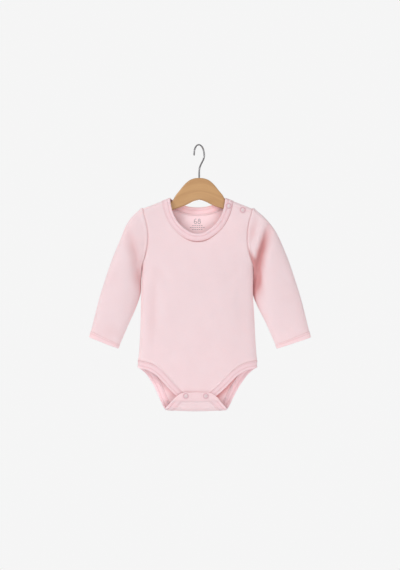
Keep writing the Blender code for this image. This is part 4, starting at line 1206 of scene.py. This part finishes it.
class Graph:
    """A material with a Principled BSDF, and short calls for its nodes."""

    def __init__(self, name, colour, roughness, metallic=0.0):
        self.material = bpy.data.materials.new(name)
        self.material.use_nodes = True
        self.nodes = self.material.node_tree.nodes
        self.links = self.material.node_tree.links
        self.shader = self.nodes["Principled BSDF"]
        self.give({"Base Color": (*colour[:3], 1), "Roughness": roughness, "Metallic": metallic})

    def give(self, values):
        """Values that are the same all over, set on the shader's own sockets."""
        for key, value in values.items():
            self.shader.inputs[key].default_value = value

    def feed(self, key, value):
        self.links.new(value, self.shader.inputs[key])

    def node(self, kind, inputs=(), **settings):
        made = self.nodes.new(kind)
        for key, value in settings.items():
            setattr(made, key, value)
        for key, value in dict(inputs).items():
            if isinstance(value, bpy.types.NodeSocket):
                self.links.new(value, made.inputs[key])
            else:
                made.inputs[key].default_value = value
        return made

    def maths(self, operation, first, second=0.0, third=0.0):
        inputs = {0: first, 1: second, 2: third}
        return self.node("ShaderNodeMath", inputs, operation=operation).outputs[0]

    def place(self):
        return self.node("ShaderNodeTexCoord").outputs["Object"]

    def parts(self, place):
        return self.node("ShaderNodeSeparateXYZ", {0: place}).outputs

    def stretched(self, place, scale):
        return self.node("ShaderNodeMapping", {"Vector": place, "Scale": scale}).outputs[0]

    def noise(self, place, scale, detail, roughness):
        inputs = {"Vector": place, "Scale": scale, "Detail": detail, "Roughness": roughness}
        return self.node("ShaderNodeTexNoise", inputs).outputs["Fac"]

    def spread(self, value, low, high):
        """The value, from 0 to 1, brought to the range from low to high."""
        inputs = {"Value": value, "To Min": low, "To Max": high}
        return self.node("ShaderNodeMapRange", inputs).outputs["Result"]

    def cloud(self, place, row):
        """A noise brought to its range."""
        return self.spread(self.noise(place, *row[:3]), *row[3:])

    def shaded(self, colour, amount):
        """The colour made lighter and darker by a value about 1."""
        inputs = {"Color": (*colour[:3], 1), "Value": amount}
        return self.node("ShaderNodeHueSaturation", inputs).outputs["Color"]

    def mix(self, share, first, second):
        """Makes the base colour turn from the first to the second."""
        inputs = {"Factor": share, "A": first, "B": second}
        made = self.node("ShaderNodeMix", inputs, data_type="RGBA")
        self.feed("Base Color", made.outputs["Result"])

    def bump(self, height, depth, strength):
        """Raises and sinks the surface by a height, its depth in millimetres."""
        inputs = {"Height": height, "Distance": depth * MM, "Strength": strength}
        self.feed("Normal", self.node("ShaderNodeBump", inputs).outputs["Normal"])


def knit(name, colour, wale, course, depth):
    """Fine knitted cotton: columns of slanted loops with a soft fuzz, and painted shade between
    the loops' ridges, in creases, folds and seams.
    """
    graph = Graph(name, colour, CLOTH_ROUGHNESS)
    place = graph.place()
    parts = graph.parts(graph.node("ShaderNodeUVMap", uv_map=KNIT_PLACES).outputs["UV"])
    wobble = graph.cloud(place, LOOP_WOBBLE)
    u = graph.maths("ADD", graph.maths("DIVIDE", parts["X"], wale * MM), wobble)
    v = graph.maths("ADD", graph.maths("DIVIDE", parts["Y"], course * MM), wobble)
    column = graph.maths("PINGPONG", u, 0.5)
    slant = graph.maths("MULTIPLY_ADD", column, LOOP_SLANT, v)
    loop = graph.maths("SINE", graph.maths("MULTIPLY", slant, 2 * math.pi))
    ridge = graph.maths("SINE", graph.maths("MULTIPLY", column, 2 * math.pi))
    height = graph.maths("MULTIPLY_ADD", loop, LOOP_SHARE, 1 - LOOP_SHARE)
    height = graph.maths("MULTIPLY", ridge, height)
    height = graph.maths("MULTIPLY_ADD", graph.noise(place, *KNIT_FUZZ), FUZZ_SHARE, height)
    graph.bump(height, depth, KNIT_BUMP)
    tone = graph.maths("MULTIPLY", graph.cloud(place, KNIT_CLOUD), graph.cloud(place, KNIT_SPECK))
    # painted shade: the knit is a little darker between its ridges
    tone = graph.maths("MULTIPLY", tone, graph.spread(ridge, GROOVE_SHADE, 1.0))
    # painted shade: the colour turns a deeper pink where other cloth is near and where the painted
    # shade attribute is high
    reach = {"Distance": CREASE_SHADE_REACH * MM}
    free = graph.node("ShaderNodeAmbientOcclusion", reach, samples=CREASE_SAMPLES).outputs["AO"]
    painted_shade = graph.node("ShaderNodeAttribute", attribute_name=PAINTED_SHADE_LAYER).outputs["Fac"]
    painted_shade = graph.maths("MULTIPLY", painted_shade, PAINTED_SHADE_DEPTH)
    crease_shade = graph.maths("MULTIPLY_ADD", graph.maths("SUBTRACT", 1.0, free), CREASE_SHADE_DEPTH, painted_shade)
    crease_shade = graph.node("ShaderNodeClamp", {"Value": crease_shade}).outputs["Result"]
    deep = [lit * low for lit, low in zip(colour, CREASE_SHADE_TINT)]
    graph.mix(crease_shade, graph.shaded(colour, tone), (*deep, 1))
    graph.feed("Roughness", graph.cloud(place, KNIT_ROUGH))
    graph.give({
        "Subsurface Weight": CLOTH_GLOW,
        "Subsurface Radius": GLOW_REACH,
        "Subsurface Scale": GLOW_SCALE * MM,
        "Sheen Weight": CLOTH_SHEEN,
        "Sheen Roughness": 0.6,
        "Specular IOR Level": 0.25,
    })
    return graph.material


def thread_finish(name, colour):
    """Twisted cotton thread."""
    graph = Graph(name, colour, roughness=0.6)
    place = graph.place()
    graph.bump(graph.noise(place, *THREAD_TWIST), *THREAD_BUMP)
    graph.feed("Base Color", graph.shaded(colour, graph.cloud(place, THREAD_TONE)))
    graph.give({"Sheen Weight": 0.2})
    return graph.material


def enamel_finish(name, colour):
    """Baked enamel on the snap's ring, uneven in tone and gloss."""
    graph = Graph(name, colour, roughness=0.32, metallic=0.15)
    place = graph.place()
    graph.feed("Base Color", graph.shaded(colour, graph.cloud(place, ENAMEL_TONE)))
    graph.feed("Roughness", graph.cloud(place, ENAMEL_ROUGH))
    graph.bump(graph.noise(place, *ENAMEL_GRAIN), *ENAMEL_BUMP)
    graph.give({"Coat Weight": 0.3})
    return graph.material


def wood_finish(name, colour, dark):
    """Straight-grained lacquered wood: long fibres along the hanger's arms, with pores."""
    graph = Graph(name, colour, roughness=0.45)
    parts = graph.parts(graph.place())
    arm = graph.maths("MULTIPLY_ADD", parts["X"], parts["X"], ARM_EASE)
    level = graph.maths("MULTIPLY_ADD", graph.maths("POWER", arm, 0.5), ARM_SLOPE, parts["Z"])
    bent = {"X": parts["X"], "Y": parts["Y"], "Z": level}
    bent = graph.node("ShaderNodeCombineXYZ", bent).outputs[0]
    sheet_place = graph.stretched(bent, SHEET_STRETCH)
    sheets = graph.maths("MULTIPLY", graph.parts(sheet_place)["Z"], SHEETS)
    warp = graph.noise(sheet_place, *WOOD_WARP)
    sheets = graph.maths("PINGPONG", graph.maths("MULTIPLY_ADD", warp, SHEET_WARP, sheets), 1.0)
    fibre = graph.noise(graph.stretched(bent, FIBRE_STRETCH), *WOOD_FIBRE)
    share = graph.maths("MULTIPLY", sheets, SHEET_SHARE)
    share = graph.maths("MULTIPLY_ADD", fibre, FIBRE_SHARE, share)
    graph.mix(share, (*colour[:3], 1), (*dark[:3], 1))
    graph.feed("Roughness", graph.spread(fibre, *WOOD_ROUGH))
    graph.bump(fibre, *WOOD_BUMP)
    graph.give({"Coat Weight": 0.12, "Coat Roughness": 0.35})
    return graph.material


def steel_finish(name, colour):
    """Drawn steel wire with fine lengthwise scratches."""
    graph = Graph(name, colour, roughness=0.28, metallic=1.0)
    place = graph.place()
    scratch = graph.noise(graph.stretched(place, STEEL_STRETCH), *STEEL_SCRATCH)
    graph.feed("Roughness", graph.spread(scratch, *STEEL_ROUGH))
    graph.bump(scratch, *STEEL_BUMP)
    graph.feed("Base Color", graph.shaded(colour, graph.cloud(place, STEEL_TONE)))
    return graph.material


def ink_finish(name, colour):
    """Thin screen-print ink that sinks into the knit."""
    graph = Graph(name, colour, roughness=0.85)
    place = graph.place()
    graph.feed("Base Color", graph.shaded(colour, graph.cloud(place, INK_TONE)))
    graph.bump(graph.noise(place, *INK_GRAIN), *INK_BUMP)
    return graph.material


def finish(context, name):
    """The named finish, made from the user's colours the first time."""
    colours = context.scene.onesie_colours
    wale, course = set_size(context, "wale"), set_size(context, "course")
    makers = {
        "interlock knit": lambda: knit(name, colours.cloth, wale, course, KNIT_DEPTH),
        "ribbed binding": lambda: knit(name, colours.binding, wale * RIB_WIDTH, course, RIB_DEPTH),
        "sewing thread": lambda: thread_finish(name, colours.thread),
        "snap enamel": lambda: enamel_finish(name, colours.snap),
        "hanger wood": lambda: wood_finish(name, colours.wood, colours.grain),
        "hook steel": lambda: steel_finish(name, colours.steel),
        "size print ink": lambda: ink_finish(name, colours.ink),
    }
    return bpy.data.materials.get(name) or makers[name]()


# ---------------------------------------------------------------- small hard pieces

def ring_section(outer, inner, thick):
    """Section of a pressed snap ring: distance from the axis and height, once round."""
    middle, half = (outer + inner) / 4, (outer - inner) / 4
    turns = np.linspace(0, 2 * math.pi, RING_SIDES, endpoint=False)
    wide, tall = np.cos(turns), np.sin(turns)
    reach = middle + half * np.sign(wide) * np.abs(wide) ** RING_POWER
    lift = thick / 2 * np.sign(tall) * np.abs(tall) ** RING_POWER
    return reach, lift + RING_CROWN * thick * np.cos((reach - middle) / half * math.pi / 2)


def dome_section(outer, thick):
    """Section of the cloth that bulges in a snap's ring: from the middle to the rim and back."""
    share = np.linspace(DOME_START, 1, DOME_RINGS)
    lift = thick * np.sqrt(1 - share**2 * DOME_FALL)
    reach = np.concatenate([share, share[::-1]]) * outer / 2
    return reach, np.concatenate([lift, lift[::-1] - DOME_FOOT])


def turned(name, centre, axis, reach, lift, material, closed):
    """A turned piece about axis: its section once round, or from the middle out and back."""
    first = unit(np.cross(axis, (0, 0, 1)))
    second = np.cross(axis, first)
    turns = np.linspace(0, 2 * math.pi, RING_TURNS, endpoint=False)[:, None]
    way = np.cos(turns) * first + np.sin(turns) * second
    points = centre + way[:, None] * reach[:, None] + axis * lift[:, None]
    size = len(reach)
    index = np.arange(RING_TURNS * size).reshape(RING_TURNS, size)
    after = np.roll(index, -1, axis=0)
    steps = size if closed else size - 1
    here, there = np.arange(steps), (np.arange(steps) + 1) % size
    faces = np.stack([index[:, here], after[:, here], after[:, there], index[:, there]], axis=-1)
    faces = faces.reshape(-1, 4).tolist()
    if not closed:
        faces += [index[::-1, 0].tolist(), index[:, -1].tolist()]
    return meshed(name, points, faces, material)


def surface(point, place):
    """A point of a panel and its outward normal."""
    return point(*place), facing(point, np.array(place), SNAP_SLOPE_STEP)


def on_flap(across, height):
    """A point of the flap, by its height."""
    return back_point(across, flap_distance(height))


def hanger_outline():
    """The board's outline, once round."""
    half = np.vstack([
        along(HANGER_TOP, np.linspace(0, 1, HANGER_STEPS)),
        along(HANGER_LOW, np.linspace(0, 1, HANGER_STEPS)),
    ])
    return np.vstack([half, half[-2:0:-1] * np.array([-1, 1])])


def arc(middle, radius, first, last, steps):
    """Points of a round stretch, from the first degrees to the last."""
    turns = np.radians(np.linspace(first, last, steps))
    return middle + radius * np.stack([np.cos(turns), np.sin(turns)], axis=1)


def hook_route():
    """Points of the wire's middle: tip, over the rail, down behind it and back to the stem."""
    bend = arc((0, WIRE / 2 - HOOK_RADIUS), HOOK_RADIUS, *HOOK_BEND)
    behind, height = np.vstack([bend, HOOK_STEM]).T
    return np.stack([behind * math.sin(HOOK_TURN), behind * math.cos(HOOK_TURN), height], axis=1)


def size_print():
    """Strokes of the plain size number and the rows of dashes under it, in millimetres."""
    strokes = [along(SIX, np.linspace(0, 1, SIX_STEPS)) + (-DIGIT_SPACE, 0)]
    strokes += [arc((DIGIT_SPACE, height), *bend) for height, *bend in EIGHT]
    for height, count in PRINT_DASHES:
        for k in range(count):
            middle = (k - (count - 1) / 2) * DASH_PITCH
            across = np.linspace(middle - DASH / 2, middle + DASH / 2, DASH_STEPS)
            strokes.append(np.stack([across, np.full(DASH_STEPS, height)], axis=1))
    return strokes


def ribbon(path, width):
    """Two edges of a stroke, its ends square."""
    way = unit(np.gradient(path, axis=0))
    aside = np.stack([-way[:, 1], way[:, 0]], axis=1) * width / 2
    return path + aside, path - aside


# ---------------------------------------------------------------- what a user sets

def set_size(context, name):
    """A size as the user has set it, in millimetres."""
    return getattr(context.scene.onesie_sizes, name) / MM


def length_setting(name, description, default):
    return bpy.props.FloatProperty(
        name=name, description=description, default=default * MM, unit="LENGTH")


class OnesieSizes(bpy.types.PropertyGroup):
    """Sizes that a user would change."""

    cloth: length_setting("Cloth", "Thickness of the knit", CLOTH)
    binding: length_setting("Binding", "Thickness of the folded binding", BINDING)
    hem: length_setting("Hem", "Thickness of the turned hems", HEM)
    wale: length_setting("Wale", "Width of one column of the knit", 1.15)
    course: length_setting("Course", "Height of one row of the knit", 0.9)
    stitch: length_setting("Stitch", "Length of a stitch", 2.1)
    pitch: length_setting("Stitch pitch", "From one stitch to the next", 2.8)
    thread: length_setting("Thread", "Thickness of the sewing thread", 0.42)
    ring_outer: length_setting("Snap ring", "Outer diameter of a snap's ring", SNAP_OUTER)
    ring_inner: length_setting("Snap opening", "Inner diameter of a snap's ring", 8.0)
    board: length_setting("Hanger", "Thickness of the hanger's board", HANGER_THICK)
    rounding: length_setting("Hanger rounding", "Radius of the hanger's edges", 3.2)
    wire: length_setting("Wire", "Diameter of the hook's wire", WIRE)
    key_power: bpy.props.FloatProperty(
        name="Key light", description="Power of the soft light from the upper left", default=45.5,
        unit="POWER")
    room_light: bpy.props.FloatProperty(
        name="Room light", description="Strength of the even light of the room", default=0.6,
        subtype="FACTOR", min=0, max=2)


def colour_setting(name, description, default):
    return bpy.props.FloatVectorProperty(
        name=name, description=description, default=default, subtype="COLOR", size=3, min=0, max=1)


class OnesieColours(bpy.types.PropertyGroup):
    """Colours that a user would change, as linear values."""

    cloth: colour_setting("Cloth", "Body and sleeves", (0.95, 0.71, 0.735))
    binding: colour_setting("Binding", "Neck and leg bindings", (0.95, 0.70, 0.735))
    thread: colour_setting("Thread", "Sewing thread", (0.92, 0.66, 0.69))
    snap: colour_setting("Snap", "Enamel of the snaps' rings", (0.80, 0.50, 0.55))
    wood: colour_setting("Wood", "The hanger's light wood", (0.585, 0.345, 0.152))
    grain: colour_setting("Grain", "The hanger's darker grain", (0.42, 0.22, 0.09))
    steel: colour_setting("Steel", "The hook's wire", (0.34, 0.34, 0.35))
    ink: colour_setting("Ink", "The size number's print", (0.25, 0.23, 0.25))
    backdrop: colour_setting("Backdrop", "Floor and background", (0.915, 0.915, 0.915))


# ---------------------------------------------------------------- operators

class PieceOperator:
    """What the operators for pieces share."""

    bl_options = {"REGISTER", "UNDO"}


class ONESIE_OT_panels(PieceOperator, bpy.types.Operator):
    """Make the front panel and the back panel with its crotch fold and flap"""

    bl_idname = "onesie.panels"
    bl_label = "Panels"

    def execute(self, context):
        cloth, thick = finish(context, "interlock knit"), set_size(context, "cloth")
        low, half = SIDE[0]
        widest, level = np.linspace(-half, half, LINE_STEPS), np.full(LINE_STEPS, low)
        for name, line, (net, normals, flat, painted_shade) in (
            ("front_panel", front_point(widest, level), front_net()),
            ("back_panel", back_point(widest, -level), back_net()),
        ):
            # painted shadow on the back panel's inside, under the front's leg edges
            inside = leg_shade(flat) if name == "back_panel" else 0
            piece = wall(name + "_cloth", net, normals, thick, cloth,
                         flat=flat, painted_shade=painted_shade, inside=inside)
            settle(piece, [name])
            declare_cloth(net, width=lengths(line)[-1], length=np.ptp(flat[..., 1]))
        return {"FINISHED"}


class ONESIE_OT_sleeves(PieceOperator, bpy.types.Operator):
    """Make both sleeves with their turned cuffs and twin stitch rows"""

    bl_idname = "onesie.sleeves"
    bl_label = "Sleeves"

    def execute(self, context):
        cloth = finish(context, "interlock knit")
        for side, name in ((-1, "sleeve_left"), (1, "sleeve_right")):
            net, normals, thick, past, painted_shade = shaped_sleeve(side, set_size(context, "hem"))
            piece = wall(name + "_cloth", net, normals, thick, cloth, closed=True, painted_shade=painted_shade)
            settle(piece, [name])
            declare_cloth(net, closed=True, tall=np.max)
            outer = joined(net + normals * thick[..., None] / 2, True)
            rings = [int(np.argmin(np.abs(past - row))) for row in CUFF_ROWS]
            rows = [(outer[k], joined(normals, True)[k]) for k in rings]
            stitches(context, name + "_cuff_stitches", rows)
        return {"FINISHED"}


class ONESIE_OT_bindings(PieceOperator, bpy.types.Operator):
    """Make the neck band and both leg bands with their two rows of stitches"""

    bl_idname = "onesie.bindings"
    bl_label = "Bindings"

    def execute(self, context):
        ribbed, thick = finish(context, "ribbed binding"), set_size(context, "binding")
        for name, (net, normals), rim_shade, way in (
            ("neck_binding", neck_band_net(), RIM_SHADE, 1),
            ("leg_binding_left", leg_band_net(-1), LEG_LINE_SHADE, -1),
            ("leg_binding_right", leg_band_net(1), LEG_LINE_SHADE, 1),
        ):
            # painted shade along each band's stitch rows and outer rim
            painted_shade = band_painted_shade(net, rim_shade)[::way]
            piece = wall(name + "_cloth", net, normals, band_thickness(thick)[::way], ribbed,
                         painted_shade=painted_shade)
            settle(piece, [name])
            declare_cloth(net)
            rows = [band_stitches(net[::way], normals[::way], share, thick)
                    for share in STITCH_SHARES]
            stitches(context, name + "_stitches", rows)
        return {"FINISHED"}


class ONESIE_OT_laps(PieceOperator, bpy.types.Operator):
    """Make the flap's turned hem and the underlap of the snap shoulder, with their stitches"""

    bl_idname = "onesie.laps"
    bl_label = "Laps and hems"

    def execute(self, context):
        cloth, thick = finish(context, "interlock knit"), set_size(context, "hem")
        net, normals = hem_net()
        piece = wall("flap_hem_cloth", net, normals, thick, cloth)
        settle(piece, ["flap_hem"])
        declare_cloth(net, length=np.ptp(table(FLAP_HEM, 0)))
        rows = [[(x, flap_distance(z)) for x, z in row] for row in FLAP_ROWS]
        rows = [laid_line(back_point, row, thick / 2) for row in rows]
        stitches(context, "flap_stitches", rows)
        across = np.linspace(*SHOULDER_ROW_ENDS, SHOULDER_ROW_STEPS)
        row = np.stack([across, shoulder_height(across) - SHOULDER_ROW], axis=1)
        stitches(context, "shoulder_stitches", [laid_line(front_point, row, CLOTH / 2)])
        net, normals = underlap_net()
        piece = wall("shoulder_underlap_cloth", net, normals, UNDERLAP_THICK, cloth)
        settle(piece, ["shoulder_underlap"])
        declare_cloth(net)
        return {"FINISHED"}


class ONESIE_OT_snaps(PieceOperator, bpy.types.Operator):
    """Make the four ring snaps: ring, the cloth that bulges in it, and the ring behind"""

    bl_idname = "onesie.snaps"
    bl_label = "Snaps"

    def execute(self, context):
        outer, inner = set_size(context, "ring_outer"), set_size(context, "ring_inner")
        enamel, cloth = finish(context, "snap enamel"), finish(context, "interlock knit")
        ring = ring_section(outer, inner, SNAP_LOW)
        middle = dome_section(inner - SNAP_MOAT, SNAP_BULGE)
        back_ring = ring_section(SNAP_BACK_OUTER, SNAP_BACK_INNER, SNAP_BACK_THICK)
        for name, *place in SNAPS:
            crotch = name.startswith("crotch")
            here, outward = surface(on_flap if crotch else front_point, place)
            if crotch:
                outward = outward * np.sign(-outward[1])
            layer = (HEM if crotch else BINDING) / 2
            cap = turned("snap_cap_" + name + "_ring", here + outward * (layer + SNAP_LOW / 4),
                         outward, *ring, enamel, True)
            settle(cap, ["snap_cap_" + name])
            dome = turned("snap_cap_" + name + "_middle", here + outward * layer, outward,
                          *middle, cloth, False)
            # a negative painted shade that keeps the crease shade off the bulge
            tone(dome, np.full(len(dome.data.vertices), DOME_SHADE))
            settle(dome, ())
            here, outward = surface(front_point, place)
            sink = BINDING / 2 if crotch else LAP + BACK_RING_CLEAR
            sink += SEAM_GAP + SNAP_BACK_THICK / 2
            back = turned("snap_back_" + name + "_ring", here - outward * sink, -outward,
                          *back_ring, enamel, True)
            settle(back, ["snap_back_" + name])
        return {"FINISHED"}


class ONESIE_OT_size_print(PieceOperator, bpy.types.Operator):
    """Print a plain size number inside the back neck"""

    bl_idname = "onesie.size_print"
    bl_label = "Size print"

    def execute(self, context):
        made = bmesh.new()
        for stroke in size_print():
            edges = []
            for edge in ribbon(stroke, PRINT_STROKE):
                flat = (edge + PRINT_PLACE) * (1, -1)
                inwards = -facing(back_point, flat)
                points = back_point(*flat.T) + inwards * (CLOTH / 2 + PRINT_LIFT)
                edges.append([made.verts.new(point * MM) for point in points])
            for k in range(len(stroke) - 1):
                made.faces.new((edges[0][k], edges[1][k], edges[1][k + 1], edges[0][k + 1]))
        settle(freed("size_print", made, finish(context, "size print ink")), ())
        return {"FINISHED"}


class ONESIE_OT_hanger(PieceOperator, bpy.types.Operator):
    """Make the shaped wooden hanger with rounded edges"""

    bl_idname = "onesie.hanger"
    bl_label = "Hanger"

    def execute(self, context):
        thick = set_size(context, "board")
        shape = bmesh.new()
        ring = [shape.verts.new((x * MM, thick / 2 * MM, z * MM)) for x, z in hanger_outline()]
        pulled = bmesh.ops.extrude_face_region(shape, geom=[shape.faces.new(ring)])
        moved = [v for v in pulled["geom"] if isinstance(v, bmesh.types.BMVert)]
        bmesh.ops.translate(shape, verts=moved, vec=(0, -thick * MM, 0))
        bmesh.ops.recalc_face_normals(shape, faces=shape.faces)
        board = freed("hanger_board", shape, finish(context, "hanger wood"))
        round_over = board.modifiers.new("rounded edges", "BEVEL")
        round_over.width = context.scene.onesie_sizes.rounding
        round_over.segments = BEVEL_STEPS
        round_over.limit_method = "ANGLE"
        round_over.angle_limit = BEVEL_ANGLE
        settle(board, ["hanger"])
        return {"FINISHED"}


class ONESIE_OT_hook(PieceOperator, bpy.types.Operator):
    """Bend the hook's wire and round its tip"""

    bl_idname = "onesie.hook"
    bl_label = "Hook"

    def execute(self, context):
        radius = set_size(context, "wire") / 2
        route = along(hook_route(), np.linspace(0, 1, HOOK_STEPS))
        way = unit(route[0] - route[1])
        tip = [route[0] + way * radius * math.sin(turn) for turn in TIP_TURNS]
        fat = [math.cos(turn) for turn in TIP_TURNS]
        curve = bpy.data.curves.new("hook_wire", "CURVE")
        curve.dimensions = "3D"
        curve.bevel_depth = radius * MM
        curve.bevel_resolution = WIRE_ROUNDNESS
        curve.use_fill_caps = True
        line = curve.splines.new("POLY")
        line.points.add(len(tip) + len(route) - 1)
        for knot, point, share in zip(line.points, [*tip, *route], [*fat, *[1] * len(route)]):
            knot.co = (*(point * MM), 1)
            knot.radius = share
        curve.materials.append(finish(context, "hook steel"))
        wire = bpy.data.objects.new("hook_wire", curve)
        context.scene.collection.objects.link(wire)
        settle(wire, ["hook"])
        return {"FINISHED"}


class ONESIE_OT_stage(bpy.types.Operator):
    """Make the pale floor, the soft lights and the camera"""

    bl_idname = "onesie.stage"
    bl_label = "Stage"

    def execute(self, context):
        scene = context.scene
        sizes, backdrop = scene.onesie_sizes, scene.onesie_colours.backdrop
        bpy.ops.mesh.primitive_circle_add(
            vertices=FLOOR_SIDES, radius=FLOOR_RADIUS, fill_type="NGON",
            location=(0, 0, FLOOR_HEIGHT))
        floor = context.object
        floor.name = "pale_floor"
        floor.data.materials.append(Graph("pale floor", backdrop, FLOOR_ROUGHNESS).material)
        self.add_room(scene, backdrop, sizes.room_light)
        for name, place, aimed, size, share in LIGHTS:
            way = AIM - Vector(place) if aimed else Vector((0, 1, 0))
            light = bpy.data.objects.new(name, bpy.data.lights.new(name, "AREA"))
            light.data.shape = "RECTANGLE"
            light.data.size, light.data.size_y = size
            light.data.energy = sizes.key_power * share
            light.location = place
            light.visible_camera = False
            light.rotation_euler = way.to_track_quat("-Z", "Y").to_euler()
            scene.collection.objects.link(light)
        camera = bpy.data.objects.new("camera", bpy.data.cameras.new("camera"))
        camera.data.lens = CAMERA_LENS
        camera.data.sensor_width = CAMERA_SENSOR
        camera.location = CAMERA_PLACE
        camera.rotation_euler = (math.pi / 2, 0, 0)
        scene.collection.objects.link(camera)
        scene.camera = camera
        scene.view_settings.view_transform = "Standard"
        scene.view_settings.look = "None"
        return {"FINISHED"}

    def add_room(self, scene, backdrop, strength):
        """An even pale room: the backdrop's colour to the camera, a softer white to the object."""
        world = bpy.data.worlds.new("pale room")
        scene.world = world
        world.use_nodes = True
        nodes, links = world.node_tree.nodes, world.node_tree.links
        seen = nodes["Background"]
        seen.inputs["Color"].default_value = (*backdrop, 1)
        lit = nodes.new("ShaderNodeBackground")
        lit.inputs["Color"].default_value = ROOM_TINT
        lit.inputs["Strength"].default_value = strength
        ray, mix = nodes.new("ShaderNodeLightPath"), nodes.new("ShaderNodeMixShader")
        links.new(ray.outputs["Is Camera Ray"], mix.inputs["Fac"])
        links.new(lit.outputs[0], mix.inputs[1])
        links.new(seen.outputs[0], mix.inputs[2])
        links.new(mix.outputs[0], nodes["World Output"].inputs["Surface"])


class ONESIE_PT_maker(bpy.types.Panel):
    """Lists the pieces and what can be set"""

    bl_idname = "ONESIE_PT_maker"
    bl_label = "Onesie"
    bl_space_type = "VIEW_3D"
    bl_region_type = "UI"
    bl_category = "Onesie"

    def draw(self, context):
        layout = self.layout
        for operator in OPERATORS:
            layout.operator(operator.bl_idname, text=operator.bl_label)
        for settings in (context.scene.onesie_sizes, context.scene.onesie_colours):
            box = layout.box()
            for key in settings.bl_rna.properties.keys():
                if key not in ("rna_type", "name"):
                    box.prop(settings, key)


OPERATORS = (
    ONESIE_OT_panels,
    ONESIE_OT_sleeves,
    ONESIE_OT_bindings,
    ONESIE_OT_laps,
    ONESIE_OT_snaps,
    ONESIE_OT_size_print,
    ONESIE_OT_hanger,
    ONESIE_OT_hook,
    ONESIE_OT_stage,
)
CLASSES = (OnesieSizes, OnesieColours, *OPERATORS, ONESIE_PT_maker)


def register():
    for made in CLASSES:
        bpy.utils.register_class(made)
    bpy.types.Scene.onesie_sizes = bpy.props.PointerProperty(type=OnesieSizes)
    bpy.types.Scene.onesie_colours = bpy.props.PointerProperty(type=OnesieColours)


def unregister():
    del bpy.types.Scene.onesie_colours
    del bpy.types.Scene.onesie_sizes
    for made in reversed(CLASSES):
        bpy.utils.unregister_class(made)


def main():
    register()
    for operator in OPERATORS:
        group, name = operator.bl_idname.split(".")
        getattr(getattr(bpy.ops, group), name)()


if __name__ == "__main__":
    main()
